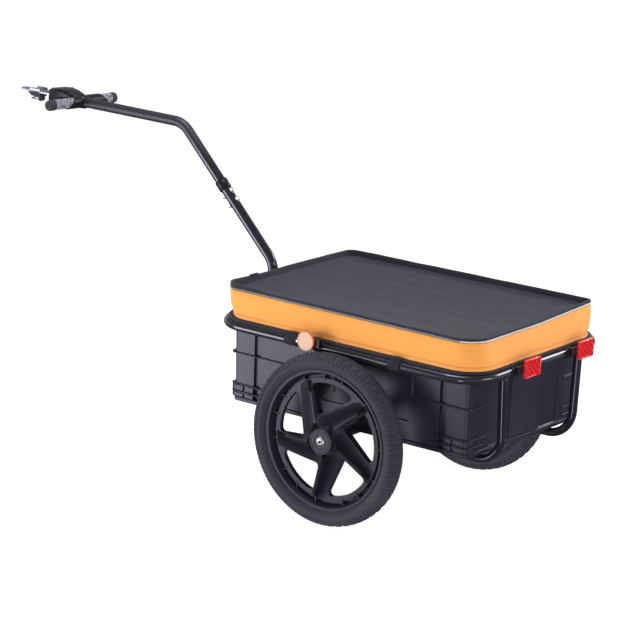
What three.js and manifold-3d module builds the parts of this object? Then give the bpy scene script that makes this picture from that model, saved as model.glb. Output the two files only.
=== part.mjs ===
// Two-wheeled cargo bike trailer: a tubular ring frame that carries a plastic tub with a fabric
// cover, moulded five-spoke wheels, a cranked drawbar with hand grips and a swivelling hitch.
// Millimetres, +X forward to the hitch, +Y to the left, +Z up, ground at zero.
import * as THREE from "three";
import { mergeVertices } from "three/addons/utils/BufferGeometryUtils.js";
import Module from "manifold-3d";

// Overall driving dimensions
const tyreRadius = 200;
const tyreWidth = 46;
const tubHalfLength = 322;
const tubHalfWidth = 225;
const ringRise = 196;
const coverRise = 90;
const drawbarTop = 772.5;
const handleRun = 316;

// Clearances and cuts
const seatGap = 0.3;
const runningGap = 0.6;
const overrun = 5;

// Counts of facets and steps
const wheelSides = 28;
const lensSides = 14;
const barSides = 12;
const smallSides = 10;
const wireSides = 8;
const boltSides = 6;
const bendSteps = 4;
const cornerSteps = 3;
const clothSteps = 4;
const filletSteps = 2;
const wireSteps = 3;
const openingArcSteps = 4;
const plateArcSteps = 8;

// Ring frame, hoops, axle beam and brace
const ringTube = 20;
const ringCorner = 83;
const ringFrontRoom = 39;
const ringRearRoom = 44;
const ringSideRoom = 38.5;
const ringHeight = tyreRadius + ringRise;
const ringFront = tubHalfLength + ringFrontRoom;
const ringRear = -tubHalfLength - ringRearRoom;
const ringHalfWidth = tubHalfWidth + ringSideRoom;
const hoopTube = 20;
const hoopTopHalfSpread = 152.5;
const hoopLowHalfSpread = 142;
const hoopDrop = 10.5;
const hoopLow = tyreRadius - hoopDrop;
const hoopBend = 62;
const axleTube = 20;
const braceTube = 18;
const braceRise = 60.5;
const braceHeight = hoopLow + braceRise;

// Tyre, inner tube and valve
const wheelRoom = 31.5;
const halfTrack = ringHalfWidth + wheelRoom;
const tyreHeight = 42.4;
const beadRadius = tyreRadius - tyreHeight;
const beadShare = 0.55;
const tubeHeightShare = 0.354;
const tubeWidthShare = 0.652;
const tubeMiddleShare = 0.434;
const valveAngle = 86;
const valveRadius = 3.2;
const valveCapRadius = 4;
const valveCapLength = 10;
const valveReach = 18;
const tyreOutlineShares = [
  [beadShare, 0],
  [beadShare, 0.13],
  [0.94, 0.33],
  [1, 0.56],
  [0.85, 0.82],
  [0.42, 0.98],
];
const tyreCavityShares = [
  [0.41, 0],
  [0.41, 0.12],
  [0.8, 0.42],
  [0.66, 0.8],
];

// Moulded wheel
const lipThickness = 2;
const lipHeight = 5;
const wellDepth = 6;
const rimWeb = 18;
const bedRadius = beadRadius - runningGap;
const rimRadius = bedRadius + lipHeight;
const rimHalfWidth = (beadShare * tyreWidth) / 2 + seatGap + lipThickness;
const lipInnerRadius = bedRadius - lipThickness;
const wellRadius = lipInnerRadius - wellDepth;
const webFace = 4;
const webThickness = 12;
const openingInner = 59.7;
const openingOuter = wellRadius - rimWeb;
const openingStart = 111.6;
const openingSweep = 55;
const openingFillet = 9;
const spokeCount = 5;
const grooveDepth = 7;
const grooveInner = 36;
const grooveMargin = 11;
const grooveRibAngles = [2, 5];
const grooveHubAngles = [9, 52];
const hubRadius = 29;
const hubDraft = 3;
const hubFace = 27;
const hubBack = -22;
const hubBackRadius = 20;
const hubBore = 12;
const cupRadius = 17.5;
const cupDepth = 2.6;
const valveTip = openingOuter - valveReach;

// Bearings, axle pins and release buttons
const bearingRadius = 16;
const bearingWidth = 8;
const pinRadius = 6;
const pinReach = 90;
const pinHeadRadius = 13.3;
const pinHeadEdge = 1.6;
const pinHeadRise = 3.6;
const buttonRadius = 3;
const buttonLength = 12;
const buttonProud = 2;
const buttonTravel = 1.6;

// Tub
const axleRoom = 1;
const tubBottom = tyreRadius + axleTube / 2 + axleRoom;
const tubWall = 4;
const tubFloor = 5;
const tubDraft = 4;
const tubCorner = 28;
const tubFlangeHeight = 10;
const tubFlangeProud = 3;
const ribHeight = 3;
const ribProud = 3;
const lowRibShare = 0.122;
const upperLowRibShare = 0.213;
const middleRibShare = 0.593;
const rimInset = 5.5;
const rimThickness = 4;
const rimUnderside = 12;
const grooveShare = 0.804;
const grooveWidth = 8;
const grooveCut = 2;
const footLength = 30;
const footProud = 9;
const footShare = 0.223;
const endRibHalfSpan = 17;
const endRibMiddleShare = 0.769;
const endRibShares = [0.172, 0.264, 0.639];
const wheelPanelLengthShare = 0.522;
const wheelPanelLowShare = 0.259;
const wheelPanelHighShare = 0.948;
const wheelPanelCorner = 22;

// Cover
const coverTop = ringHeight + coverRise;
const clothThickness = 2.5;
const hemThickness = 4;
const hemHeight = 10.5;
const hemLip = 7;
const coverSideInset = 9.5;
const coverRearInset = 4;
const coverFrontInset = 10;
const coverLean = 5;
const coverRearLean = 11;
const coverCorner = 72;
const coverTopCorner = 52;
const coverBulge = 3;
const coverLevelShares = [0, 0.3, 0.65, 1];
const pipingRadius = 2.5;
const topEdgeWidth = 6;
const trayDepth = 8;
const trayWall = 14;
const traySag = 6;
const foldHeight = 2;
const foldLength = 190;
const trayInsetShares = [0.137, 0.301, 0.502, 0.723, 0.904];
const traySharpCorner = 12;
const pullWidth = 26;
const pullLength = 24;
const pullY = 140;

// Straps round the ring
const strapWidth = 30;
const strapThickness = 1.6;
const strapPlaces = { front: 133, rear: -154 };
const strapRise = 22.5;

// Side reflectors
const sideLensX = 77;
const sideLensRise = 16;
const sideLensRadius = 22.5;
const sideLensThickness = 7;
const sideLensReach = 28.5;
const sideCuffLength = 24;
const sideCuffWall = 1.9;
const sideEarReach = 33;
const sidePlateLowRise = 4;
const sidePlateHighRise = 23;
const sideEarHighRise = 16;
const screwRadius = 3;
const screwHeight = 2.4;

// Rear reflectors
const rearLensReach = 29;
const rearLensThickness = 8;
const rearLensWidth = 59;
const rearLensHeight = 42;
const rearLensRise = 8;
const rearLensPlaces = { left: 75, right: -142 };
const rearCuffLength = 22;
const rearCuffWall = 1.9;
const rearPlateHalfHeight = 9;

// Drawbar
const drawbarTube = 24.5;
const drawbarWall = 2.25;
const drawbarOffset = 33;
const drawbarX = ringFront + drawbarOffset;
const bendRise = 86.6;
const drawbarLowerBend = ringHeight + bendRise;
const drawbarSlope = 45.5;
const drawbarBend = 60;
const sleeveShare = 0.6055;
const spigotLength = 88;
const collarLength = 26;
const collarWall = 2.6;
const boltRadius = 3;
const boltHeadRadius = 6;
const boltHeadHeight = 4;
const nutHeight = 5;
const boltSetbacks = { lower: 63.5, upper: 38 };
const clampHalfWidth = 17;
const clampWall = 6;
const clampHalfHeight = 16;
const railClampTop = 8;
const footBelowClamp = 6;

// Handle
const crossbarRadius = 8;
const gripStart = 58;
const gripLength = 54;
const gripRadius = 13;
const gripWaist = 12;
const capLength = 21;
const capRadius = 13.5;
const capRound = 4;
const capWall = 3.6;
const armRootRadius = 15;
const armEndRadius = 13;
const pivotReach = 88;
const headSocketWall = 2;
const headBack = 25;
const headNose = 12;
const headHump = 45;
const headSocket = drawbarTube / 2 + headSocketWall;
const headHalfWidths = [headSocket, 21, 27, 27];
const headLows = [headSocket, 16, 17.5, 16.5];
const headHighs = [headSocket, 19, 24.5, 17.5];
const headShoulder = 9;
const headChamferShare = 0.3;
const wingRoot = 55;
const wingTip = 12;
const wingHalfThickness = 7;
const wingHoleX = 23;
const wingHoleY = 38;
const wingHoleRadius = 5;

// Hitch
const plateRise = 3.5;
const plateBottom = drawbarTop + plateRise;
const plateThickness = 4.5;
const tongueRadius = 13;
const tongueRelief = 0.5;
const tongueReliefRoom = 3;
const plateHalfWidth = 15;
const plateNeck = 22;
const plateTaper = 66;
const tipReach = 90;
const tipRadius = 11;
const tipHoleRadius = 5;
const slotBack = 16;
const flangeStart = 33;
const flangeHeight = 5;
const flangeThickness = 2;
const hitchPinRadius = 4;
const hitchPinHeadRadius = 7;
const hitchPinHeadHeight = 3;
const blockStart = 34;
const blockLength = 38;
const blockBevel = 11;
const blockHalfWidth = 13;
const blockDepth = 11;
const lugLength = 10;
const lugDepth = 22;
const lugHalfWidth = 7;
const toothPitch = 5;
const toothDepth = 2.5;
const toothCount = 4;
const bailRadius = 1.7;
const bailReach = 25;
const bailRoom = 2.8;
const bailBend = 5;
const bailDrop = 17;
const bailStub = 3;

// Colours and finishes
const looks = {
  blackPaint: { color: 0x141518, roughness: 0.3, metalness: 0.3 },
  tubPlastic: { color: 0x2b2d33, roughness: 0.5, metalness: 0 },
  wheelPlastic: { color: 0x25272c, roughness: 0.45, metalness: 0 },
  tyreRubber: { color: 0x2a2b2f, roughness: 0.85, metalness: 0 },
  tubeRubber: { color: 0x18191b, roughness: 0.7, metalness: 0 },
  blackPlastic: { color: 0x1a1a1c, roughness: 0.5, metalness: 0 },
  orangeCloth: { color: 0xf59a3c, roughness: 0.85, metalness: 0 },
  blackCloth: { color: 0x2c2b30, roughness: 0.9, metalness: 0 },
  silverPiping: { color: 0xb9bac2, roughness: 0.5, metalness: 0.2 },
  webbing: { color: 0x3c3a3c, roughness: 0.9, metalness: 0 },
  amberLens: { color: 0xf2b07a, roughness: 0.2, metalness: 0 },
  redLens: { color: 0xd31f2d, roughness: 0.15, metalness: 0 },
  greyRubber: { color: 0x77777c, roughness: 0.7, metalness: 0 },
  darkRubber: { color: 0x3e3f44, roughness: 0.6, metalness: 0 },
  zinc: { color: 0xb8bfc6, roughness: 0.3, metalness: 0.9 },
  steel: { color: 0xc9cbce, roughness: 0.25, metalness: 1 },
};

// Names that the geometry shares
const quarterTurn = Math.PI / 2;
const weld = 1e-4;
const along = { x: new THREE.Vector3(1, 0, 0), y: new THREE.Vector3(0, 1, 0), z: new THREE.Vector3(0, 0, 1) };
const at = (x, y, z) => new THREE.Vector3(x, y, z);
const radians = THREE.MathUtils.degToRad;
const wasm = await Module();
wasm.setup();

// A closed geometry as a solid, its faces turned outwards
function solid(geometry) {
  const bare = geometry.clone();
  bare.deleteAttribute("normal");
  bare.deleteAttribute("uv");
  const merged = mergeVertices(bare, weld);
  const place = merged.attributes.position;
  const corner = (i) => new THREE.Vector3().fromBufferAttribute(place, i);
  const faces = [];
  let volume = 0;
  for (let i = 0; i < merged.index.count; i += 3) {
    const face = [0, 1, 2].map((step) => merged.index.getX(i + step));
    if (new Set(face).size < face.length) continue;
    const [a, b, c] = face.map(corner);
    volume += a.dot(b.cross(c));
    faces.push(face);
  }
  if (volume < 0) faces.forEach((face) => face.reverse());
  return new wasm.Manifold(
    new wasm.Mesh({ numProp: 3, vertProperties: place.array, triVerts: new Uint32Array(faces.flat()) }),
  );
}

// A named mesh from a solid
function mesh(name, body, look) {
  const made = body.getMesh();
  const geometry = new THREE.BufferGeometry();
  geometry.setAttribute("position", new THREE.BufferAttribute(new Float32Array(made.vertProperties), 3));
  geometry.setIndex(new THREE.BufferAttribute(new Uint32Array(made.triVerts), 1));
  const material = new THREE.MeshStandardMaterial({ ...look, flatShading: true });
  const result = new THREE.Mesh(geometry, material);
  result.name = name;
  return result;
}

function groupOf(...children) {
  const group = new THREE.Group();
  group.add(...children);
  return group;
}

// A surface from rings of equally many points, joined ring to ring
function ringSurface(rings, closed) {
  const count = rings[0].length;
  const points = rings.flat();
  const faces = [];
  const last = closed ? rings.length : rings.length - 1;
  for (let r = 0; r < last; r += 1) {
    for (let i = 0; i < count; i += 1) {
      const next = (i + 1) % count;
      const upper = ((r + 1) % rings.length) * count;
      const lower = r * count;
      faces.push(lower + i, lower + next, upper + next, lower + i, upper + next, upper + i);
    }
  }
  return { points, faces, count };
}

function surfaceSolid({ points, faces }) {
  const geometry = new THREE.BufferGeometry().setFromPoints(points);
  geometry.setIndex(faces);
  return solid(geometry);
}

// A closed band: the last ring joins the first
function band(rings) {
  return surfaceSolid(ringSurface(rings, true));
}

// A loft whose first and last rings are closed by fans about their middles
function loft(rings) {
  const made = ringSurface(rings, false);
  const cap = (ring, start, flip) => {
    const middle = made.points.length;
    const total = ring.reduce((sum, point) => sum.add(point), new THREE.Vector3());
    made.points.push(total.divideScalar(ring.length));
    ring.forEach((point, i) => {
      const pair = [start + i, start + ((i + 1) % ring.length)];
      made.faces.push(middle, ...(flip ? pair.reverse() : pair));
    });
  };
  cap(rings[0], 0, true);
  cap(rings.at(-1), (rings.length - 1) * made.count, false);
  return surfaceSolid(made);
}

// A line through corners, each rounded to a radius
function bent(corners, radius, steps, closed = false) {
  return corners.flatMap((corner, i) => {
    if (!closed && (i === 0 || i === corners.length - 1)) return [corner.clone()];
    const back = corners.at(i - 1).clone().sub(corner).normalize();
    const ahead = corners[(i + 1) % corners.length].clone().sub(corner).normalize();
    const half = back.angleTo(ahead) / 2;
    const reach = radius / Math.tan(half);
    const middle = back.clone().add(ahead).setLength(radius / Math.sin(half)).add(corner);
    const from = corner.clone().addScaledVector(back, reach).sub(middle);
    const to = corner.clone().addScaledVector(ahead, reach).sub(middle);
    const sweep = from.angleTo(to);
    return Array.from({ length: steps + 1 }, (_, step) => {
      const turned = (sweep * step) / steps;
      const point = from.clone().multiplyScalar(Math.sin(sweep - turned) / Math.sin(sweep));
      return point.addScaledVector(to, Math.sin(turned) / Math.sin(sweep)).add(middle);
    });
  });
}

// A round bar along a flat line of points, whose plane has the given normal
function bar(points, normal, radius, sides, closed = false) {
  const rings = points.map((point, i) => {
    const first = closed || i > 0 ? points.at(i - 1) : point;
    const second = points[(i + 1) % points.length];
    const ahead = closed || i < points.length - 1 ? second : point;
    const side = ahead.clone().sub(first).normalize().cross(normal);
    return Array.from({ length: sides }, (_, step) => {
      const turn = (4 * quarterTurn * step) / sides;
      const offset = normal.clone().multiplyScalar(radius * Math.cos(turn));
      return offset.addScaledVector(side, radius * Math.sin(turn)).add(point);
    });
  });
  return closed ? band(rings) : loft(rings);
}

// A straight round bar between two points, or a tapered one
function rod(from, to, radius, sides = barSides, endRadius = radius) {
  const length = from.distanceTo(to);
  const geometry = new THREE.CylinderGeometry(endRadius, radius, length, sides);
  geometry.translate(0, length / 2, 0);
  const direction = to.clone().sub(from).normalize();
  geometry.applyQuaternion(new THREE.Quaternion().setFromUnitVectors(along.y, direction));
  geometry.translate(from.x, from.y, from.z);
  return solid(geometry);
}

// A box between any two opposite corners
function block(one, other) {
  const low = one.clone().min(other);
  const size = one.clone().max(other).sub(low);
  const geometry = new THREE.BoxGeometry(size.x, size.y, size.z);
  const middle = low.clone().addScaledVector(size, 1 / 2);
  return solid(geometry.translate(middle.x, middle.y, middle.z));
}

// A body turned about the Y axis from pairs of radius and place along the axis
function spin(profile, sides) {
  const points = profile.map(([radius, place]) => new THREE.Vector2(radius, place));
  if (points[0].x > 0) points.push(points[0].clone());
  return solid(new THREE.LatheGeometry(points, sides));
}

// A plate from an outline of pairs, its thickness along one of three directions
const plateAxes = {
  x: [along.y, along.z, along.x],
  y: [along.x.clone().negate(), along.z, along.y],
  z: [along.x, along.y, along.z],
};

function plate(outline, axis, low, high) {
  const shape = new THREE.Shape(outline.map(([across, up]) => new THREE.Vector2(across, up)));
  const geometry = new THREE.ExtrudeGeometry(shape, { depth: high - low, bevelEnabled: false });
  geometry.translate(0, 0, low);
  geometry.applyMatrix4(new THREE.Matrix4().makeBasis(...plateAxes[axis]));
  return solid(geometry);
}

// Pairs of a flat outline with its corners rounded
function roundedOutline(corners, radius, steps) {
  const points = corners.map(([across, up]) => at(across, up, 0));
  return bent(points, radius, steps, true).map((point) => [point.x, point.y]);
}

// The radius of a faceted bore whose flats clear a round piece by a gap
const boreRadius = (radius, gap, sides = barSides) => (radius + gap) / Math.cos((2 * quarterTurn) / sides);
const polar = (radius, degrees) => [radius * Math.cos(radians(degrees)), radius * Math.sin(radians(degrees))];

const joined = (...bodies) => bodies.reduce((sum, body) => sum.add(body));
const cut = (body, ...tools) => tools.reduce((rest, tool) => rest.subtract(tool), body);

// One level ring of a rounded rectangle, counter-clockwise from its front left corner
function levelRing({ front, rear, halfWidth, corner, height, steps = 1 }) {
  const places = [
    [front, halfWidth],
    [rear, halfWidth],
    [rear, -halfWidth],
    [front, -halfWidth],
  ];
  const signs = [
    [-1, -1],
    [1, -1],
    [1, 1],
    [-1, 1],
  ];
  const arcs = places.map(([x, y], quarter) => {
    const [sx, sy] = signs[quarter];
    const middle = at(x + sx * corner, y + sy * corner, height);
    return Array.from({ length: cornerSteps + 1 }, (_, i) => {
      const turn = quarterTurn * (quarter + i / cornerSteps);
      return at(corner * Math.cos(turn), corner * Math.sin(turn), 0).add(middle);
    });
  });
  return arcs.flatMap((arc, quarter) => {
    const next = arcs[(quarter + 1) % arcs.length][0];
    const straight = Array.from({ length: steps - 1 }, (_, i) => arc.at(-1).clone().lerp(next, (i + 1) / steps));
    return [...arc, ...straight];
  });
}

// Ring frame, hoops, axle beam and brace

function ringBar(radius) {
  const corners = [
    at(ringFront, ringHalfWidth, ringHeight),
    at(ringRear, ringHalfWidth, ringHeight),
    at(ringRear, -ringHalfWidth, ringHeight),
    at(ringFront, -ringHalfWidth, ringHeight),
  ];
  return bar(bent(corners, ringCorner, bendSteps, true), along.z, radius, barSides, true);
}

function hoopBar(side, radius) {
  const corners = [
    at(ringRear, side * hoopTopHalfSpread, ringHeight),
    at(ringRear, side * hoopLowHalfSpread, hoopLow),
    at(ringFront, side * hoopLowHalfSpread, hoopLow),
    at(ringFront, side * hoopTopHalfSpread, ringHeight),
  ];
  const down = corners[1].clone().sub(corners[0]).normalize();
  return bar(bent(corners, hoopBend, bendSteps), down.cross(along.x), radius, barSides);
}

const sides = { left: 1, right: -1 };
const axleEnd = halfTrack + hubBack - seatGap;
const fatHoops = joined(...Object.values(sides).map((side) => hoopBar(side, hoopTube / 2 + seatGap)));

function frameTubes() {
  const fatRing = ringBar(ringTube / 2 + seatGap);
  const hoops = Object.entries(sides).map(([name, side]) =>
    mesh(`hoop_${name}`, cut(hoopBar(side, hoopTube / 2), fatRing), looks.blackPaint),
  );
  const pinBore = rod(
    at(0, -axleEnd - overrun, tyreRadius),
    at(0, axleEnd + overrun, tyreRadius),
    boreRadius(pinRadius, runningGap, smallSides),
    smallSides,
  );
  const axle = rod(at(0, -axleEnd, tyreRadius), at(0, axleEnd, tyreRadius), axleTube / 2);
  const braceAxis = [at(ringFront, -hoopLowHalfSpread, braceHeight), at(ringFront, hoopLowHalfSpread, braceHeight)];
  return groupOf(
    mesh("ring_frame", ringBar(ringTube / 2), looks.blackPaint),
    ...hoops,
    mesh("axle_beam", cut(axle, pinBore, fatHoops), looks.blackPaint),
    mesh("front_brace", cut(rod(...braceAxis, braceTube / 2), fatHoops), looks.blackPaint),
  );
}

// Wheels, each in a frame whose +Y points outboard from the middle of the tyre

function tyreSection(shares) {
  const half = shares.map(([across, up]) => [beadRadius + up * tyreHeight, (across * tyreWidth) / 2]);
  const other = half.map(([radius, place]) => [radius, -place]).reverse();
  return [...half, ...other];
}

function tyreBody() {
  const outside = tyreSection(tyreOutlineShares);
  outside.splice(outside.length / 2, 0, [tyreRadius, 0]);
  const inside = tyreSection(tyreCavityShares).reverse();
  return spin([...outside, ...inside], wheelSides);
}

function innerTubeBody() {
  const tubeMiddle = beadRadius + tubeMiddleShare * tyreHeight;
  const section = Array.from({ length: boltSides }, (_, i) => {
    const [up, across] = polar(1, (360 * i) / boltSides);
    return [tubeMiddle + up * tubeHeightShare * tyreHeight, (across * tubeWidthShare * tyreWidth) / 2];
  });
  const level = webFace - webThickness / 2;
  const spoke = (radius) => {
    const [back, up] = polar(radius, valveAngle);
    return at(-back, level, up);
  };
  return joined(
    spin(section, wheelSides),
    rod(spoke(tubeMiddle), spoke(valveTip), valveRadius, smallSides),
    rod(spoke(valveTip + valveCapLength), spoke(valveTip), valveCapRadius, smallSides, valveRadius),
  );
}

function valveHole() {
  const level = webFace - webThickness / 2;
  const ends = [bedRadius + overrun, openingOuter - overrun].map((radius) => {
    const [back, up] = polar(radius, valveAngle);
    return at(-back, level, up);
  });
  return rod(...ends, boreRadius(valveCapRadius, seatGap, smallSides), smallSides);
}

// One opening between two spokes: a radial edge, the rim's arc and a slanting edge
function spokeOpening(turn) {
  const start = openingStart - turn;
  const corners = [
    polar(openingInner, start),
    polar(openingOuter, start),
    polar(openingOuter, start - openingSweep),
  ];
  const fillets = roundedOutline(corners, openingFillet, filletSteps);
  const beforeArc = 2 * (filletSteps + 1);
  const arc = Array.from({ length: openingArcSteps - 1 }, (_, i) =>
    polar(openingOuter, start - (openingSweep * (i + 1)) / openingArcSteps),
  );
  const outline = [...fillets.slice(0, beforeArc), ...arc, ...fillets.slice(beforeArc)];
  return plate(outline, "y", webFace - webThickness - overrun, webFace + overrun);
}

// The channel in one spoke, wide at the hub and narrow at the rim
function spokeGroove(turn) {
  const edge = openingStart - turn;
  const outline = [
    polar(openingOuter + grooveMargin, edge + grooveRibAngles[1]),
    polar(grooveInner, edge + grooveHubAngles[1]),
    polar(grooveInner, edge + (grooveHubAngles[0] + grooveHubAngles[1]) / 2),
    polar(grooveInner, edge + grooveHubAngles[0]),
    polar(openingOuter + grooveMargin, edge + grooveRibAngles[0]),
  ];
  return plate(outline, "y", webFace - grooveDepth, webFace + overrun);
}

function rimBody() {
  const outerSeat = hubFace - cupDepth;
  const outerShoulder = outerSeat - bearingWidth - seatGap;
  const innerShoulder = hubBack + bearingWidth + seatGap;
  const seatRadius = bearingRadius + seatGap;
  const bedEdge = rimHalfWidth - lipThickness;
  const profile = [
    [cupRadius, hubFace],
    [cupRadius, outerSeat],
    [seatRadius, outerSeat],
    [seatRadius, outerShoulder],
    [hubBore, outerShoulder],
    [hubBore, innerShoulder],
    [seatRadius, innerShoulder],
    [seatRadius, hubBack],
    [hubBackRadius, hubBack],
    [hubBackRadius + hubDraft, webFace - webThickness],
    [wellRadius, webFace - webThickness],
    [lipInnerRadius, -rimHalfWidth],
    [rimRadius, -rimHalfWidth],
    [rimRadius, -bedEdge],
    [bedRadius, -bedEdge],
    [bedRadius, bedEdge],
    [rimRadius, bedEdge],
    [rimRadius, rimHalfWidth],
    [lipInnerRadius, rimHalfWidth],
    [wellRadius, webFace],
    [hubRadius + hubDraft, webFace],
    [hubRadius, hubFace],
  ];
  const turns = Array.from({ length: spokeCount }, (_, i) => (360 * i) / spokeCount);
  const openings = joined(...turns.map(spokeOpening));
  const grooves = joined(...turns.map(spokeGroove));
  return cut(spin(profile, wheelSides), openings, grooves, valveHole());
}

function bearingBody(face) {
  const outer = bearingRadius;
  const inner = boreRadius(pinRadius, runningGap);
  const back = face - bearingWidth;
  return spin([[inner, back], [outer, back], [outer, face], [inner, face]], barSides);
}

const pinHeadBase = hubFace - cupDepth + runningGap;
const pinHeadTop = pinHeadBase + pinHeadEdge + pinHeadRise;
const buttonFoot = pinHeadTop + buttonProud - buttonLength;

function axlePinBody() {
  const bore = boreRadius(buttonRadius, runningGap / 2);
  const boreFoot = buttonFoot - buttonTravel - seatGap;
  return spin(
    [
      [0, -pinReach],
      [pinRadius, -pinReach],
      [pinRadius, pinHeadBase],
      [pinHeadRadius, pinHeadBase],
      [pinHeadRadius, pinHeadBase + pinHeadEdge],
      [(pinHeadRadius + bore) / 2, pinHeadTop - pinHeadRise / 4],
      [bore, pinHeadTop],
      [bore, boreFoot],
      [0, boreFoot],
    ],
    barSides,
  );
}

function releaseButtonBody() {
  return rod(at(0, buttonFoot, 0), at(0, buttonFoot + buttonLength, 0), buttonRadius, smallSides);
}

function wheel(name, side) {
  const part = (piece) => `wheel_${name}_${piece}`;
  const group = groupOf(
    mesh(part("tyre"), tyreBody(), looks.tyreRubber),
    mesh(part("inner_tube"), innerTubeBody(), looks.tubeRubber),
    mesh(part("rim"), rimBody(), looks.wheelPlastic),
    mesh(part("outer_bearing"), bearingBody(hubFace - cupDepth), looks.steel),
    mesh(part("inner_bearing"), bearingBody(hubBack + bearingWidth), looks.steel),
    mesh(`axle_pin_${name}`, axlePinBody(), looks.steel),
    mesh(`release_button_${name}`, releaseButtonBody(), looks.blackPlastic),
  );
  group.position.set(0, side * halfTrack, tyreRadius);
  group.rotation.z = side > 0 ? 0 : 2 * quarterTurn;
  return group;
}

// Tub

const ringTop = ringHeight + ringTube / 2;
const tubRimBottom = ringTop + strapThickness + 2 * seatGap;
const tubRimTop = tubRimBottom + rimThickness;
const rimShape = {
  front: ringFront - rimInset,
  rear: ringRear + rimInset,
  halfWidth: ringHalfWidth - rimInset,
  corner: ringCorner - rimInset,
};

const tubHeight = tubRimBottom - tubBottom;
const tubLevel = (share) => tubBottom + share * tubHeight;

// A ring on the tub's wall, moved outwards by proud
function tubRing(height, proud) {
  const grow = proud - (tubDraft * (tubRimBottom - height)) / tubHeight;
  return levelRing({
    front: tubHalfLength + grow,
    rear: -tubHalfLength - grow,
    halfWidth: tubHalfWidth + grow,
    corner: tubCorner + proud,
    height,
  });
}

function ribRings(middle) {
  const low = middle - ribHeight / 2;
  const high = middle + ribHeight / 2;
  return [tubRing(low, 0), tubRing(low, ribProud), tubRing(high, ribProud), tubRing(high, 0)];
}

function tubShell() {
  const flangeTop = tubBottom + tubFlangeHeight;
  return loft([
    tubRing(tubBottom, 0),
    tubRing(tubBottom + tubFlangeProud, tubFlangeProud),
    tubRing(flangeTop, tubFlangeProud),
    tubRing(flangeTop, 0),
    ...ribRings(tubLevel(lowRibShare)),
    ...ribRings(tubLevel(upperLowRibShare)),
    ...ribRings(tubLevel(middleRibShare)),
    tubRing(tubRimBottom - rimUnderside, 0),
    levelRing({ ...rimShape, height: tubRimBottom }),
    levelRing({ ...rimShape, height: tubRimTop }),
    tubRing(tubRimTop, -tubWall),
    tubRing(tubBottom + tubFloor, -tubWall),
  ]);
}

// The shallow grooves and wheel panel of one long side, which leave the wall's inner part whole
function tubSideCuts(side) {
  const inner = side * (tubHalfWidth - tubDraft - tubWall);
  const outer = side * (tubHalfWidth + ribProud + overrun);
  const low = tubLevel(upperLowRibShare) + ribHeight;
  const high = tubRimBottom - rimUnderside;
  const grooves = [-grooveShare, grooveShare].map((share) => {
    const x = share * tubHalfLength;
    return block(at(x - grooveWidth / 2, inner, low), at(x + grooveWidth / 2, outer, high));
  });
  const panelHalf = wheelPanelLengthShare * tubHalfLength;
  const panelLow = tubLevel(wheelPanelLowShare);
  const panelHigh = tubLevel(wheelPanelHighShare);
  const corners = [
    [-panelHalf, panelLow],
    [panelHalf, panelLow],
    [panelHalf, panelHigh],
    [-panelHalf, panelHigh],
  ];
  const outline = roundedOutline(corners, wheelPanelCorner, filletSteps);
  const panel = plate(outline, "y", Math.min(inner, outer), Math.max(inner, outer));
  const kept = loft([tubRing(tubBottom, -grooveCut), tubRing(tubRimTop, -grooveCut)]);
  return cut(joined(panel, ...grooves), kept);
}

// The feet at one end's lower corners and the short ribs above them
function tubEndTrim(end) {
  const footLow = tubBottom + tubFlangeHeight - seatGap;
  const faceX = tubHalfLength - tubDraft - tubWall / 2;
  return Object.values(sides).flatMap((side) => {
    const middleY = side * endRibMiddleShare * tubHalfWidth;
    const ribs = endRibShares.map((share) =>
      block(
        at(end * faceX, middleY - endRibHalfSpan, tubLevel(share) - ribHeight / 2),
        at(end * (tubHalfLength + ribProud), middleY + endRibHalfSpan, tubLevel(share) + ribHeight / 2),
      ),
    );
    const foot = block(
      at(end * (tubHalfLength - footLength), side * (tubHalfWidth - footLength), footLow),
      at(end * (tubHalfLength + footProud), side * (tubHalfWidth + ribProud), tubLevel(footShare)),
    );
    return [foot, ...ribs];
  });
}

function tub() {
  const hollow = loft([tubRing(tubBottom + tubFloor, -tubWall), tubRing(tubRimTop, -tubWall)]);
  const trim = joined(...tubEndTrim(1), ...tubEndTrim(-1));
  const whole = joined(tubShell(), cut(trim, hollow));
  return mesh("tub", cut(whole, tubSideCuts(1), tubSideCuts(-1)), looks.tubPlastic);
}

// Cover

const hemInner = {
  front: rimShape.front + runningGap,
  rear: rimShape.rear - runningGap,
  halfWidth: rimShape.halfWidth + runningGap,
  corner: rimShape.corner + runningGap,
  steps: clothSteps,
};
const hemBottom = tubRimBottom + seatGap;
const hemTop = hemBottom + hemHeight;
const sideBottom = hemTop + seatGap;
const topUnderside = coverTop - clothThickness;
const pipingHeight = topUnderside - seatGap - pipingRadius;
const sideTop = pipingHeight - pipingRadius - seatGap;

// A ring grown outwards by an offset, or drawn inwards by a negative one
function grown(shape, offset, height) {
  return levelRing({
    ...shape,
    front: shape.front + offset,
    rear: shape.rear - offset,
    halfWidth: shape.halfWidth + offset,
    corner: Math.max(shape.corner + offset, traySharpCorner),
    height,
  });
}

const sideFootShape = {
  front: ringFront - coverFrontInset,
  rear: ringRear + coverRearInset,
  halfWidth: ringHalfWidth - coverSideInset,
  corner: coverCorner,
  steps: clothSteps,
};
const sideHeadShape = {
  front: ringFront - coverFrontInset,
  rear: ringRear + coverRearInset + coverRearLean,
  halfWidth: ringHalfWidth - coverSideInset - coverLean,
  corner: coverTopCorner,
  steps: clothSteps,
};

// The side wall part way up, between its foot and its head
function sideShape(share) {
  const between = (key) => THREE.MathUtils.lerp(sideFootShape[key], sideHeadShape[key], share);
  return {
    front: between("front"),
    rear: between("rear"),
    halfWidth: between("halfWidth"),
    corner: between("corner"),
    steps: clothSteps,
  };
}

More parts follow.
